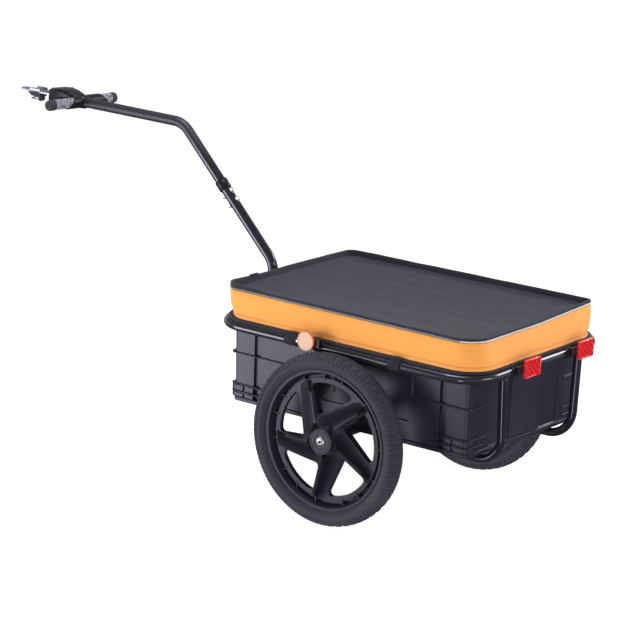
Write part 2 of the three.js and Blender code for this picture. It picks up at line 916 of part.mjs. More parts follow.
function coverSides() {
  const height = (share) => THREE.MathUtils.lerp(sideBottom, sideTop, share);
  const bulge = (share) => coverBulge * Math.sin(2 * quarterTurn * share);
  const outside = coverLevelShares.map((share) => grown(sideShape(share), bulge(share), height(share)));
  const inside = coverLevelShares.map((share) =>
    grown(sideShape(share), bulge(share) - clothThickness, height(share)),
  );
  return band([...outside, ...inside.reverse()]);
}

function coverHem() {
  const outer = hemThickness;
  const lipBottom = hemTop - hemThickness;
  return band([
    grown(hemInner, outer, hemBottom),
    grown(hemInner, outer, hemTop - hemThickness / 2),
    grown(hemInner, outer - hemThickness / 2, hemTop),
    grown(hemInner, -hemLip, hemTop),
    grown(hemInner, -hemLip, lipBottom),
    grown(hemInner, 0, lipBottom),
    grown(hemInner, 0, hemBottom),
  ]);
}

const trayInsets = trayInsetShares.map((share) => share * sideHeadShape.halfWidth);

// How far the slack top hangs below its edge: a sag to the middle and slanting folds
function trayDrop(point, inset) {
  const slack = Math.min(inset / trayInsets[1], 1);
  const waves = Math.sin((4 * quarterTurn * (point.x + 2 * point.y)) / foldLength);
  const deeper = Math.sin((4 * quarterTurn * (point.x - point.y)) / (2 * foldLength));
  return trayDepth + traySag * slack + (foldHeight * slack * (waves + deeper)) / 2;
}

function coverTopPanel() {
  const flat = [0, topEdgeWidth].map((inset) => grown(sideHeadShape, -inset, coverTop));
  const hanging = [trayWall, ...trayInsets].map((inset) => {
    const ring = grown(sideHeadShape, -inset, coverTop);
    ring.forEach((point) => point.setZ(coverTop - trayDrop(point, inset - trayWall)));
    return ring;
  });
  const upper = [...flat, ...hanging];
  const lower = upper.map((ring) => ring.map((point) => point.clone().sub(at(0, 0, clothThickness))));
  return loft([...lower.reverse(), ...upper]);
}

function coverPiping() {
  return bar(grown(sideHeadShape, 0, pipingHeight), along.z, pipingRadius, boltSides, true);
}

// A flat webbing loop sewn to the front edge of the top
function pullLoop() {
  const front = sideHeadShape.front + seatGap + pipingRadius;
  const back = front - topEdgeWidth;
  const high = coverTop + seatGap;
  const low = coverTop - pullLength;
  const outline = [
    [front, low],
    [front + strapThickness, low],
    [front + strapThickness, high + strapThickness],
    [back, high + strapThickness],
    [back, high],
    [front, high],
  ].map(([x, z]) => [-x, z]);
  return plate(outline, "y", pullY - pullWidth / 2, pullY + pullWidth / 2);
}

function cover() {
  return groupOf(
    mesh("cover_side_panel", coverSides(), looks.orangeCloth),
    mesh("cover_top_panel", coverTopPanel(), looks.blackCloth),
    mesh("cover_piping", coverPiping(), looks.silverPiping),
    mesh("cover_hem", coverHem(), looks.blackCloth),
    mesh("cover_pull_loop", pullLoop(), looks.webbing),
  );
}

// A cuff round a straight stretch of tube, along X or Y
function cuff(middle, direction, length, wall, inner) {
  const half = direction.clone().multiplyScalar(length / 2);
  const over = direction.clone().multiplyScalar(length / 2 + overrun);
  const outside = rod(middle.clone().sub(half), middle.clone().add(half), inner + wall);
  return cut(outside, rod(middle.clone().sub(over), middle.clone().add(over), inner));
}

// Straps, each a webbing cuff round the ring with a tongue up to the hem
function strap(side, x) {
  const inner = boreRadius(ringTube / 2, seatGap);
  const middle = at(x, side * ringHalfWidth, ringHeight);
  const ringCuff = cuff(middle, along.x, strapWidth, strapThickness, inner);
  const [rise, reach] = polar(inner + strapThickness / 2, 45);
  const footY = ringHalfWidth + reach;
  const headY = hemInner.halfWidth + hemThickness + runningGap;
  const outline = [
    [side * footY, ringHeight + rise],
    [side * (footY + strapThickness), ringHeight + rise],
    [side * (headY + strapThickness), ringHeight + strapRise],
    [side * headY, ringHeight + strapRise],
  ];
  return joined(ringCuff, plate(outline, "x", x - strapWidth / 2, x + strapWidth / 2));
}

function straps() {
  const made = Object.entries(sides).flatMap(([sideName, side]) =>
    Object.entries(strapPlaces).map(([place, x]) =>
      mesh(`strap_${sideName}_${place}`, strap(side, x), looks.webbing),
    ),
  );
  return groupOf(...made);
}

// Side reflectors, each a round lens on a bracket that grips the ring
function sideReflector(name, side) {
  const lensFace = ringHalfWidth + sideLensReach;
  const lensBack = lensFace - sideLensThickness;
  const lensZ = ringHeight + sideLensRise;
  const plateBack = ringHalfWidth + ringTube / 2 + seatGap;
  const plateFace = lensBack - seatGap;
  const low = ringHeight + sidePlateLowRise;
  const box = (fromX, toX, rise) =>
    block(at(fromX, side * plateBack, low), at(toX, side * plateFace, ringHeight + rise));
  const cuffX = sideLensX - sideLensRadius;
  const cuffMiddle = at(cuffX, side * ringHalfWidth, ringHeight);
  const bracket = joined(
    cuff(cuffMiddle, along.x, sideCuffLength, sideCuffWall, boreRadius(ringTube / 2, seatGap)),
    box(cuffX - sideCuffLength / 2, sideLensX + sideLensRadius / 2, sidePlateHighRise),
    box(sideLensX, sideLensX + sideEarReach, sideEarHighRise),
  );
  const lens = rod(
    at(sideLensX, side * lensBack, lensZ),
    at(sideLensX, side * lensFace, lensZ),
    sideLensRadius,
    lensSides,
  );
  const screwX = sideLensX + sideEarReach - 2 * screwRadius;
  const screwZ = (low + ringHeight + sideEarHighRise) / 2;
  const screw = rod(
    at(screwX, side * (plateFace + seatGap), screwZ),
    at(screwX, side * (plateFace + seatGap + screwHeight), screwZ),
    screwRadius,
    smallSides,
  );
  return [
    mesh(`side_reflector_${name}_lens`, lens, looks.amberLens),
    mesh(`side_reflector_${name}_bracket`, bracket, looks.blackPlastic),
    mesh(`side_reflector_${name}_screw`, screw, looks.steel),
  ];
}

// Rear reflectors, each a rectangular lens on a clamp round the rear rail
const rearLensFace = ringRear - rearLensReach;

function rearReflector(name, middleY) {
  const lensBack = rearLensFace + rearLensThickness;
  const lensZ = ringHeight + rearLensRise;
  const lens = block(
    at(rearLensFace, middleY - rearLensWidth / 2, lensZ - rearLensHeight / 2),
    at(lensBack, middleY + rearLensWidth / 2, lensZ + rearLensHeight / 2),
  );
  const cuffY = middleY + (rearLensWidth + rearCuffLength) / 2;
  const cuffMiddle = at(ringRear, cuffY, ringHeight);
  const railFace = ringRear - ringTube / 2 - seatGap;
  const clamp = joined(
    cuff(cuffMiddle, along.y, rearCuffLength, rearCuffWall, boreRadius(ringTube / 2, seatGap)),
    block(
      at(lensBack + seatGap, middleY - rearLensWidth / 4, lensZ - rearPlateHalfHeight),
      at(railFace, cuffY + rearCuffLength / 2, lensZ + rearPlateHalfHeight),
    ),
  );
  return [
    mesh(`rear_reflector_${name}_lens`, lens, looks.redLens),
    mesh(`rear_reflector_${name}_clamp`, clamp, looks.blackPlastic),
  ];
}

function reflectors() {
  return groupOf(
    ...Object.entries(sides).flatMap(([name, side]) => sideReflector(name, side)),
    ...Object.entries(rearLensPlaces).flatMap(([name, y]) => rearReflector(name, y)),
  );
}

// Drawbar: a lower tube, an upper tube whose spigot slides into it, and their fastenings

const legDirection = at(Math.cos(radians(drawbarSlope)), 0, Math.sin(radians(drawbarSlope)));
const legAcross = at(-legDirection.z, 0, legDirection.x);
const legPoint = (distance) => at(drawbarX, 0, drawbarLowerBend).addScaledVector(legDirection, distance);
const legOffset = (distance, across) => legPoint(distance).addScaledVector(legAcross, across);
const drawbarRadius = drawbarTube / 2;
const spigotRadius = drawbarRadius - drawbarWall;
const legLength = (drawbarTop - drawbarLowerBend) / Math.sin(radians(drawbarSlope));
const sleeveEnd = sleeveShare * legLength;
const boltPlaces = Object.entries(boltSetbacks).map(([name, setback]) => [name, sleeveEnd - setback]);
const upperBendX = legPoint(legLength).x;
const handleX = upperBendX + handleRun;
const gripEnd = gripStart + gripLength;
const crossbarHalfLength = gripEnd + capLength - capWall - seatGap;

function boltHole(place) {
  const reach = drawbarRadius + overrun;
  const radius = boreRadius(boltRadius, seatGap, smallSides);
  return rod(legOffset(place, -reach), legOffset(place, reach), radius, smallSides);
}

function boltBody(place) {
  const seat = drawbarRadius + seatGap;
  const shankEnd = seat + nutHeight + boltRadius;
  return joined(
    rod(legOffset(place, -shankEnd), legOffset(place, seat + seatGap), boltRadius, smallSides),
    rod(legOffset(place, seat), legOffset(place, seat + boltHeadHeight), boltHeadRadius, boltSides),
  );
}

function nutBody(place) {
  const seat = drawbarRadius + seatGap;
  const far = seat + nutHeight;
  return cut(
    rod(legOffset(place, -far), legOffset(place, -seat), boltHeadRadius, boltSides),
    rod(
      legOffset(place, -far - overrun),
      legOffset(place, overrun - seat),
      boreRadius(boltRadius, seatGap, smallSides),
      smallSides,
    ),
  );
}

function clampBody(middleHeight, topReach, railRadius) {
  const grip = boreRadius(railRadius, seatGap);
  const half = at(0, clampHalfWidth, clampHalfHeight);
  const body = block(
    at(ringFront, -half.y, middleHeight - half.z),
    at(drawbarX + drawbarRadius + clampWall, half.y, middleHeight + topReach),
  );
  const rail = rod(at(ringFront, -half.y - overrun, middleHeight), at(ringFront, half.y + overrun, middleHeight), grip);
  const bore = rod(
    at(drawbarX, 0, middleHeight - half.z - overrun),
    at(drawbarX, 0, middleHeight + topReach + overrun),
    boreRadius(drawbarRadius, seatGap),
  );
  return cut(body, rail, bore);
}

function drawbar() {
  const holes = joined(...boltPlaces.map(([, place]) => boltHole(place)));
  const foot = braceHeight - clampHalfHeight - footBelowClamp;
  const lowerCorners = [at(drawbarX, 0, foot), legPoint(0), legPoint(sleeveEnd)];
  const lowerBar = bar(bent(lowerCorners, drawbarBend, bendSteps), along.y, drawbarRadius, barSides);
  const boreFoot = sleeveEnd - spigotLength - seatGap;
  const bore = rod(legPoint(boreFoot), legPoint(sleeveEnd + overrun), boreRadius(spigotRadius, seatGap));
  const upperCorners = [legPoint(sleeveEnd + seatGap), at(upperBendX, 0, drawbarTop), at(handleX, 0, drawbarTop)];
  const upperBar = bar(bent(upperCorners, drawbarBend, bendSteps), along.y, drawbarRadius, barSides);
  const spigot = rod(legPoint(sleeveEnd - spigotLength), legPoint(sleeveEnd + overrun), spigotRadius);
  const crossbarSpace = rod(
    at(handleX, -crossbarHalfLength, drawbarTop),
    at(handleX, crossbarHalfLength, drawbarTop),
    crossbarRadius + seatGap,
  );
  const collarInner = boreRadius(drawbarRadius, seatGap);
  const collarMiddle = legPoint(sleeveEnd - collarLength / 2);
  const fastenings = boltPlaces.flatMap(([name, place]) => [
    mesh(`drawbar_${name}_bolt`, boltBody(place), looks.steel),
    mesh(`drawbar_${name}_nut`, nutBody(place), looks.steel),
  ]);
  return groupOf(
    mesh("lower_drawbar", cut(lowerBar, bore, holes), looks.blackPaint),
    mesh("upper_drawbar", cut(joined(upperBar, spigot), holes, crossbarSpace), looks.blackPaint),
    mesh(
      "drawbar_collar",
      cuff(collarMiddle, legDirection, collarLength, collarWall, collarInner),
      looks.blackPlastic,
    ),
    ...fastenings,
    mesh("drawbar_rail_clamp", clampBody(ringHeight, railClampTop, ringTube / 2), looks.blackPaint),
    mesh("drawbar_brace_clamp", clampBody(braceHeight, clampHalfHeight, braceTube / 2), looks.blackPaint),
  );
}

// Handle, in a frame on the middle of its crossbar

function headSection(place, halfWidth, low, high) {
  const chamfer = headChamferShare * halfWidth;
  const y = halfWidth;
  return [
    [y, chamfer - low],
    [y, high - chamfer],
    [y - chamfer, high],
    [chamfer - y, high],
    [-y, high - chamfer],
    [-y, chamfer - low],
    [chamfer - y, -low],
    [y - chamfer, -low],
  ].map(([across, up]) => at(place, across, up));
}

function wingBody(side) {
  const outline = [
    [0, armRootRadius * side],
    [wingRoot, headHalfWidths[1] * side],
    [wingRoot, headHalfWidths[2] * side],
    [wingTip, (gripStart - seatGap) * side],
    [0, (gripStart - seatGap) * side],
  ];
  const hole = at(wingHoleX, wingHoleY * side, 0);
  const through = at(0, 0, wingHalfThickness + overrun);
  return cut(
    plate(outline, "z", -wingHalfThickness, wingHalfThickness),
    rod(hole.clone().sub(through), hole.clone().add(through), wingHoleRadius, smallSides),
  );
}

function headBody() {
  const headFront = pivotReach + headNose;
  const places = [-headBack, headShoulder, headHump, headFront];
  const sections = places.map((place, i) => headSection(place, headHalfWidths[i], headLows[i], headHighs[i]));
  const armEnd = gripStart - seatGap;
  const arms = Object.values(sides).map((side) =>
    rod(at(0, 0, 0), at(0, side * armEnd, 0), armRootRadius, barSides, armEndRadius),
  );
  const drawbarBore = rod(at(-headBack - overrun, 0, 0), at(0, 0, 0), boreRadius(drawbarRadius, seatGap));
  const crossbarBore = rod(at(0, -gripEnd, 0), at(0, gripEnd, 0), boreRadius(crossbarRadius, seatGap));
  const slotLow = plateBottom - drawbarTop - seatGap;
  const slot = block(
    at(pivotReach - slotBack, -gripStart, slotLow),
    at(headFront + overrun, gripStart, slotLow + plateThickness + 2 * seatGap),
  );
  const pinBore = rod(
    at(pivotReach, 0, -headLows[2] - overrun),
    at(pivotReach, 0, headHighs[2] + overrun),
    boreRadius(hitchPinRadius, seatGap, smallSides),
    smallSides,
  );
  return cut(joined(loft(sections), ...arms, wingBody(1), wingBody(-1)), drawbarBore, crossbarBore, slot, pinBore);
}

function gripBody() {
  const inner = boreRadius(crossbarRadius, seatGap);
  return spin(
    [
      [inner, gripStart],
      [gripRadius, gripStart],
      [gripRadius, gripStart + gripLength / 8],
      [gripWaist, gripStart + gripLength / 3],
      [gripWaist, gripEnd - gripLength / 3],
      [gripRadius, gripEnd],
      [inner, gripEnd],
    ],
    barSides,
  );
}

function gripCapBody() {
  const inner = boreRadius(crossbarRadius, seatGap);
  const start = gripEnd + seatGap;
  const end = gripEnd + capLength;
  return spin(
    [
      [0, end],
      [capRadius - capRound, end],
      [capRadius, end - capRound],
      [capRadius, start],
      [inner, start],
      [inner, end - capWall],
      [0, end - capWall],
    ],
    barSides,
  );
}

function handle() {
  const grips = Object.entries(sides).map(([name, side]) => {
    const group = groupOf(
      mesh(`grip_${name}`, gripBody(), looks.greyRubber),
      mesh(`grip_cap_${name}`, gripCapBody(), looks.darkRubber),
    );
    group.rotation.z = side > 0 ? 0 : 2 * quarterTurn;
    return group;
  });
  const crossbar = rod(at(0, -crossbarHalfLength, 0), at(0, crossbarHalfLength, 0), crossbarRadius);
  const group = groupOf(
    mesh("handle_head", headBody(), looks.blackPlastic),
    mesh("handle_crossbar", crossbar, looks.blackPaint),
    ...grips,
  );
  group.position.set(handleX, 0, drawbarTop);
  return group;
}

// Hitch, in a frame on the swivel pin at the underside of its plate
const pivotX = handleX + pivotReach;

function hitchPlateBody() {
  const arc = (middle, radius, from) =>
    Array.from({ length: plateArcSteps + 1 }, (_, i) => {
      const [x, y] = polar(radius, from + (180 * i) / plateArcSteps);
      return [middle + x, y];
    });
  const outline = [
    ...arc(0, tongueRadius, 90),
    [plateNeck, -plateHalfWidth],
    [plateTaper, -plateHalfWidth],
    ...arc(tipReach, tipRadius, -90),
    [plateTaper, plateHalfWidth],
    [plateNeck, plateHalfWidth],
  ];
  const hole = (x, radius) => rod(at(x, 0, -overrun), at(x, 0, plateThickness + overrun), radius, smallSides);
  const flanges = Object.values(sides).map((side) =>
    block(
      at(flangeStart, side * plateHalfWidth, 0),
      at(plateTaper, side * (plateHalfWidth - flangeThickness), plateThickness + flangeHeight),
    ),
  );
  const relief = block(
    at(-tongueRadius - overrun, -plateHalfWidth - overrun, plateThickness - tongueRelief),
    at(headNose + tongueReliefRoom, plateHalfWidth + overrun, plateThickness + overrun),
  );
  return cut(
    joined(plate(outline, "z", 0, plateThickness), ...flanges),
    relief,
    hole(0, boreRadius(hitchPinRadius, runningGap, smallSides)),
    hole(tipReach, tipHoleRadius),
  );
}

const blockEnd = blockStart + blockLength;
const lugMiddle = blockStart + lugLength / 2;

function hitchBlockBody() {
  const outline = [
    [blockStart, -seatGap],
    [blockEnd, -seatGap],
    [blockEnd - blockBevel, -blockDepth],
    [blockStart, -blockDepth],
  ].map(([x, z]) => [-x, z]);
  const teeth = Array.from({ length: toothCount }, (_, i) => {
    const x = blockEnd - blockBevel - (i + 1) * toothPitch;
    return block(
      at(x, -blockHalfWidth - overrun, -blockDepth - overrun),
      at(x + toothPitch / 2, blockHalfWidth + overrun, toothDepth - blockDepth),
    );
  });
  const lug = block(at(blockStart, -lugHalfWidth, -lugDepth), at(blockStart + lugLength, lugHalfWidth, -blockDepth / 2));
  const bore = rod(
    at(lugMiddle, -lugHalfWidth - overrun, -bailDrop),
    at(lugMiddle, lugHalfWidth + overrun, -bailDrop),
    boreRadius(bailRadius, runningGap, smallSides),
    smallSides,
  );
  return cut(joined(plate(outline, "y", -blockHalfWidth, blockHalfWidth), lug), bore, ...teeth);
}

function bailBody() {
  const front = lugMiddle + bailReach;
  const half = lugHalfWidth + bailRadius + bailRoom;
  const corners = [
    at(lugMiddle, -bailStub, -bailDrop),
    at(lugMiddle, -half, -bailDrop),
    at(front, -half, -bailDrop),
    at(front, half, -bailDrop),
    at(lugMiddle, half, -bailDrop),
    at(lugMiddle, bailStub, -bailDrop),
  ];
  return bar(bent(corners, bailBend, wireSteps), along.z, bailRadius, wireSides);
}

function hitch() {
  const pinTop = drawbarTop + headHighs[2] - plateBottom;
  const pinFoot = drawbarTop - headLows[2] - plateBottom;
  const pin = joined(
    rod(at(0, 0, pinFoot), at(0, 0, pinTop + seatGap), hitchPinRadius, smallSides),
    rod(at(0, 0, pinTop), at(0, 0, pinTop + hitchPinHeadHeight), hitchPinHeadRadius, smallSides),
  );
  const group = groupOf(
    mesh("hitch_plate", hitchPlateBody(), looks.zinc),
    mesh("hitch_jaw_block", hitchBlockBody(), looks.darkRubber),
    mesh("hitch_bail", bailBody(), looks.zinc),
    mesh("hitch_swivel_pin", pin, looks.steel),
  );
  group.position.set(pivotX, 0, plateBottom);
  return group;
}

// The whole trailer, with its origin under the middle of its length
const trailer = groupOf(
  frameTubes(),
  ...Object.entries(sides).map(([name, side]) => wheel(name, side)),
  tub(),
  cover(),
  straps(),
  reflectors(),
  drawbar(),
  handle(),
  hitch(),
);
const hitchTip = pivotX + tipReach + tipRadius;
trailer.position.x = -(hitchTip + rearLensFace) / 2;
const cargoTrailer = groupOf(trailer);
cargoTrailer.name = "cargo_bike_trailer";

export default cargoTrailer;
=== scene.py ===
"""Looks of the cargo bike trailer: tubes, wheels, tub, fabric cover, drawbar, handle and hitch.
Sizes are in millimetres, with X forward from the axle, Y to the left and Z up from the ground."""
import math

import bmesh
import bpy
from mathutils import Matrix, Vector, noise


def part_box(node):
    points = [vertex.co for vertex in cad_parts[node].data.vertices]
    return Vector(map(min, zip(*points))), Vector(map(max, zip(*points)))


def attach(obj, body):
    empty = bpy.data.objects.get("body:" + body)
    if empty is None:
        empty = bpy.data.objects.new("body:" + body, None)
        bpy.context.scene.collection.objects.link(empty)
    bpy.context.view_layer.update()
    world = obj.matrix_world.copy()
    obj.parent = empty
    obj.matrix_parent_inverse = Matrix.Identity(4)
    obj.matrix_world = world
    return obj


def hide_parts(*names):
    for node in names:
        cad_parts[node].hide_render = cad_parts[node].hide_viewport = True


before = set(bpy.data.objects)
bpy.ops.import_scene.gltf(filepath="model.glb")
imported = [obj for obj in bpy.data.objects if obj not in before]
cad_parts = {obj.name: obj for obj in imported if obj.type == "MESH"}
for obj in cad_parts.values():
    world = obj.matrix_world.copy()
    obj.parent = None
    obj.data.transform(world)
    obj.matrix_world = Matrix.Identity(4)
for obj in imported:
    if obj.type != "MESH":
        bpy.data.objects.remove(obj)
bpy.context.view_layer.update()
scene = bpy.context.scene

MM = 0.001
AXLE_X = sum(corner.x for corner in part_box("axle_beam")) / 2
AXLE_Z = 200
HALF_TRACK = 295
UP, AHEAD, LEFT = Vector((0, 0, 1)), Vector((1, 0, 0)), Vector((0, 1, 0))
SIDES = {"left": 1, "right": -1}
# Body and finish of what is fixed to the frame
PAINTED, FITTED = ("frame", "frame_paint"), ("frame", "black_plastic")
STEEL = ("frame", "bright_steel")


# Camera, floor and light

def linked(name, data):
    made = bpy.data.objects.new(name, data)
    scene.collection.objects.link(made)
    return made


def camera():
    """The photograph's viewpoint."""
    data = bpy.data.cameras.new("camera")
    data.lens, data.sensor_width, data.sensor_fit = 202.5, 36, "HORIZONTAL"
    data.clip_end = 100
    right = Vector((-0.79980072, -0.59866751, 0.04377238))
    up = Vector((0.19119965, -0.18495482, 0.96396805))
    ahead = Vector((0.56900044, -0.77935161, -0.26239202))
    turn = Matrix((right, up, -ahead)).transposed().to_4x4()
    stand = Vector((-4.52712776 + AXLE_X, 6.54496531, 2.57478090))
    scene.camera = linked("camera", data)
    scene.camera.matrix_world = Matrix.Translation(stand) @ turn


def softbox(name, place, target, width, height, power):
    """A large soft lamp that faces a point, all in metres and watts."""
    data = bpy.data.lights.new(name, "AREA")
    data.shape, data.size, data.size_y, data.energy = "RECTANGLE", width, height, power
    made = linked(name, data)
    made.location = place
    made.rotation_mode = "QUATERNION"
    made.rotation_quaternion = (Vector(target) - Vector(place)).to_track_quat("-Z", "Y")


def studio():
    """A white sweep of floor under a shaded sky, with soft boxes round it."""
    world = scene.world = bpy.data.worlds.new("shaded_sky")
    world.use_nodes = True
    sky = Nodes(world.node_tree)
    height = sky.node("SeparateXYZ", inputs={0: sky.node("TexCoord")[0]})[2]
    tone = sky.node("ValToRGB", inputs={0: height.maths("MULTIPLY_ADD", height, 0.5, 0.5)})[0]
    sky.feed(sky.tree.nodes["Background"].inputs[0], tone)
    stops = tone.socket.node.color_ramp.elements
    for place, grey in ((0.37, 0.14), (0.45, 1.0), (0.56, 1.0), (0.66, 0.36)):
        stops.new(place).color = (grey, grey, grey * 1.04, 1)
    stops[0].color, stops[-1].color = (0.16, 0.16, 0.17, 1), (0.3, 0.3, 0.32, 1)
    scene.view_settings.view_transform = "Standard"
    softbox("lamp_above", (0.15, 0.1, 3.3), (0, 0, 0.3), 1.5, 1.5, 90)
    softbox("lamp_front", (1.92, 2.48, -0.08), (0.1, 0.2, 0.42), 1.5, 1.9, 98)
    softbox("lamp_back", (-3.2, -0.3, 1.3), (-0.3, 0, 0.4), 1.2, 1.2, 36)
    softbox("lamp_low", (-1.5, 2.15, -0.35), (-0.3, 0, 0.32), 0.35, 0.9, 13)
    softbox("lamp_rear", (-1.35, -2.1, 1.8), (-0.3, 0, 0.4), 1.3, 0.7, 44)
    bm = bmesh.new()
    bmesh.ops.create_grid(bm, x_segments=1, y_segments=1, size=40)
    sheet = bpy.data.meshes.new("studio_floor")
    bm.to_mesh(sheet)
    bm.free()
    floor = linked("studio_floor", sheet)
    sheet.materials.append(studio_white())
    floor.visible_glossy = floor.visible_shadow = False


# Finishes

def screen(red, green, blue):
    """A colour given as it shows on a screen, in 255 steps, as light."""
    share = [value / 255 for value in (red, green, blue)]
    light = [s / 12.92 if s <= 0.04045 else ((s + 0.055) / 1.055) ** 2.4 for s in share]
    return (*light, 1)


def dimmed(colour, by):
    return (*(by * part for part in colour[:3]), 1)


COOL = (0.86, 0.83, 1, 1)
FULL_TURN = 2 * math.pi
# In metres: the height of the hands, the line behind which the piping has a painted highlight, and
# one stitch with its gap
HANDS, PAINTED_HIGHLIGHT_LINE, STITCH = 0.68, 0.31, 0.0052


def sum_of(operation, turned_round=False):
    """A method that adds a Math node for the reading and what it is reckoned with."""
    def reckoned(reading, *others):
        values = (reading, *others)
        return reading.maths(operation, *(values[::-1] if turned_round else values))
    return reckoned


class Reading:
    """One socket of a node tree, reckoned with as a number."""

    def __init__(self, nodes, socket):
        self.nodes, self.socket = nodes, socket

    def maths(self, operation, *values):
        return self.nodes.node("Math", {"operation": operation}, dict(enumerate(values)))[0]

    __add__ = __radd__ = sum_of("ADD")
    __sub__, __rsub__ = sum_of("SUBTRACT"), sum_of("SUBTRACT", turned_round=True)
    __mul__ = __rmul__ = sum_of("MULTIPLY")
    __pow__, __abs__ = sum_of("POWER"), sum_of("ABSOLUTE")
    __gt__, __lt__ = sum_of("GREATER_THAN"), sum_of("LESS_THAN")
    sine, at_least = sum_of("SINE"), sum_of("MAXIMUM")


class Nodes:
    """A node tree that is written as sums of its readings."""

    def __init__(self, tree):
        self.tree = tree

    def node(self, kind, settings=None, inputs=None):
        """A node of a kind, its settings first and then the values or links of its inputs."""
        made = self.tree.nodes.new("ShaderNode" + kind)
        for key, value in (settings or {}).items():
            setattr(made, key, value)
        for key, value in (inputs or {}).items():
            self.feed(made.inputs[key], value)
        return [Reading(self, socket) for socket in made.outputs]

    def feed(self, socket, value):
        if isinstance(value, Reading):
            self.tree.links.new(value.socket, socket)
        else:
            socket.default_value = value


class Finish(Nodes):
    """A material, built up from its shader's own values and the patterns that vary them."""

    def __init__(self, name, colour, roughness, **values):
        self.material = bpy.data.materials.new(name)
        self.material.use_nodes = True
        super().__init__(self.material.node_tree)
        self.colour = colour
        self.put(Base_Color=colour, Roughness=roughness, **values)
        coordinates = self.node("TexCoord")
        self.object_place, self.map_place = coordinates[3], coordinates[2]

    def put(self, **values):
        """Sets or links sockets of the surface, named with _ for a space."""
        for key, value in values.items():
            self.feed(self.tree.nodes["Principled BSDF"].inputs[key.replace("_", " ")], value)

    def mottle(self, scale, detail=2, place=None, stretch=(1, 1, 1)):
        """Cloudy noise from 0 to 1, in blotches of about a metre over the scale."""
        where = self.node("Mapping", inputs={0: place or self.object_place, 3: stretch})[0]
        return self.node("TexNoise", inputs={"Vector": where, "Scale": scale, "Detail": detail})[0]

    def cells(self, scale):
        """The distance to the nearest of scattered points."""
        return self.node("TexVoronoi", inputs={"Vector": self.object_place, "Scale": scale})[0]

    def parts(self, place=None):
        """The three coordinates of a place."""
        return self.node("SeparateXYZ", inputs={0: place or self.object_place})

    def mixed(self, share, first, second):
        return self.node("Mix", {"data_type": "RGBA"}, {0: share, 6: first, 7: second})[2]

    def done(self, tone, roughness, height, depth, strength=1.0):
        """Sets the colour, the roughness and a relief up to a depth in metres, and is finished."""
        bump = self.node("Bump", inputs={"Height": height, "Distance": depth, "Strength": strength})
        self.put(Base_Color=tone, Roughness=roughness, Normal=bump[0])
        return self.material


def studio_white():
    white, light, dark = (1, 1, 1, 1), (0.24, 0.24, 0.24, 1), (0.21, 0.21, 0.21, 1)
    made = Finish("studio_white", white, 0.9, Emission_Color=white, Emission_Strength=0.93)
    made.put(Base_Color=made.mixed(made.mottle(0.7), light, dark))
    return made.material


def paint():
    """Smooth baked paint with a faint orange peel, rubbed matt at the height of the hands."""
    made = Finish("gloss_black_paint", screen(20, 19, 26), 0.2, Specular_Tint=COOL)
    dust = made.mottle(9, 4)
    rubbed = ((made.parts()[2] - HANDS) * 3.2).at_least(0.0)
    tone = made.mixed(dust ** 2, made.colour, screen(34, 33, 40))
    return made.done(tone, 0.12 + dust * 0.14 + rubbed, made.mottle(420, 1), 0.00003)


def moulding(name, colour, roughness, shine=0.32, grain=1500):
    """Moulded plastic with a fine spark grain and a few pale scuffs."""
    made = Finish(name, colour, roughness, Specular_IOR_Level=shine, Specular_Tint=COOL)
    broad, fine = made.mottle(5, 5), made.mottle(grain, 2)
    scuff = (made.mottle(90, 6, stretch=(1, 1, 6)) > 0.67) * (broad > 0.5)
    tone = made.mixed(broad, colour, dimmed(colour, 1.35))
    tone = made.mixed(scuff * 0.12, tone, screen(92, 92, 98))
    return made.done(tone, roughness - 0.08 + broad * 0.1 + fine * 0.08, fine, 0.00006)


def rubber(name, colour, rings=False):
    """Matt rubber, dusty in blotches; on a tyre, fine rings run round the wall."""
    made = Finish(name, colour, 0.75, Specular_IOR_Level=0.3, Specular_Tint=COOL)
    dust = made.mottle(14, 5)
    height = made.mottle(700, 2)
    if rings:
        x, _, z = made.parts()
        out = ((x - AXLE_X) ** 2 + (z - AXLE_Z * MM) ** 2) ** 0.5
        height = height * 0.4 + (out * 2600).sine() * 0.6
    tone = made.mixed(dust ** 2, colour, screen(62, 61, 66))
    return made.done(tone, 0.62 + dust * 0.25, height, 0.00012)


def cloth(name, colour, second, pitch, depth, seam=None, **values):
    """A plain weave of two thread tones; a seam is a height on the cloth's map, with stitches."""
    made = Finish(name, colour, 0.8, **values)
    where = made.object_place if seam is None else made.map_place
    u, v, _ = made.parts(where)
    turn = FULL_TURN / pitch
    over = (u * turn).sine() * (v * turn).sine()
    threads = abs((u * turn).sine()) * 0.5 + abs((v * turn).sine()) * 0.5
    slub = made.mottle(160, 3, where, (1, 4, 4))
    faded = made.mottle(4, 4)
    tone = made.mixed(over * 0.35 + 0.3 + slub * 0.3, colour, second)
    tone = made.mixed(faded * 0.18, tone, dimmed(colour, 0.75))
    height = threads + over * 0.6 + slub * 0.5
    if seam is not None:
        off = abs(v - seam)
        stitch = (off < 0.0009) * ((u * (FULL_TURN / STITCH)).sine() > -0.45)
        tone = made.mixed(stitch * 0.8, tone, dimmed(second, 0.5))
        height = height + stitch * 4 - (off < 0.0016) * 2
    return made.done(tone, 0.72 + slub * 0.2, height, depth)


def webbing():
    """Charcoal polypropylene tape, ribbed across."""
    made = Finish(
        "charcoal_webbing", screen(26, 24, 32), 0.8,
        Sheen_Weight=0.05, Specular_IOR_Level=0.3, Specular_Tint=COOL,
    )
    x, y, z = made.parts()
    rib, rung = (x * 3400).sine(), ((y + z) * 2600).sine()
    slub = made.mottle(300, 3)
    tone = made.mixed(slub * 0.5 + rib * 0.15 + 0.2, made.colour, screen(15, 13, 20))
    return made.done(tone, 0.7 + slub * 0.2, rib + rung * 0.6, 0.0002)


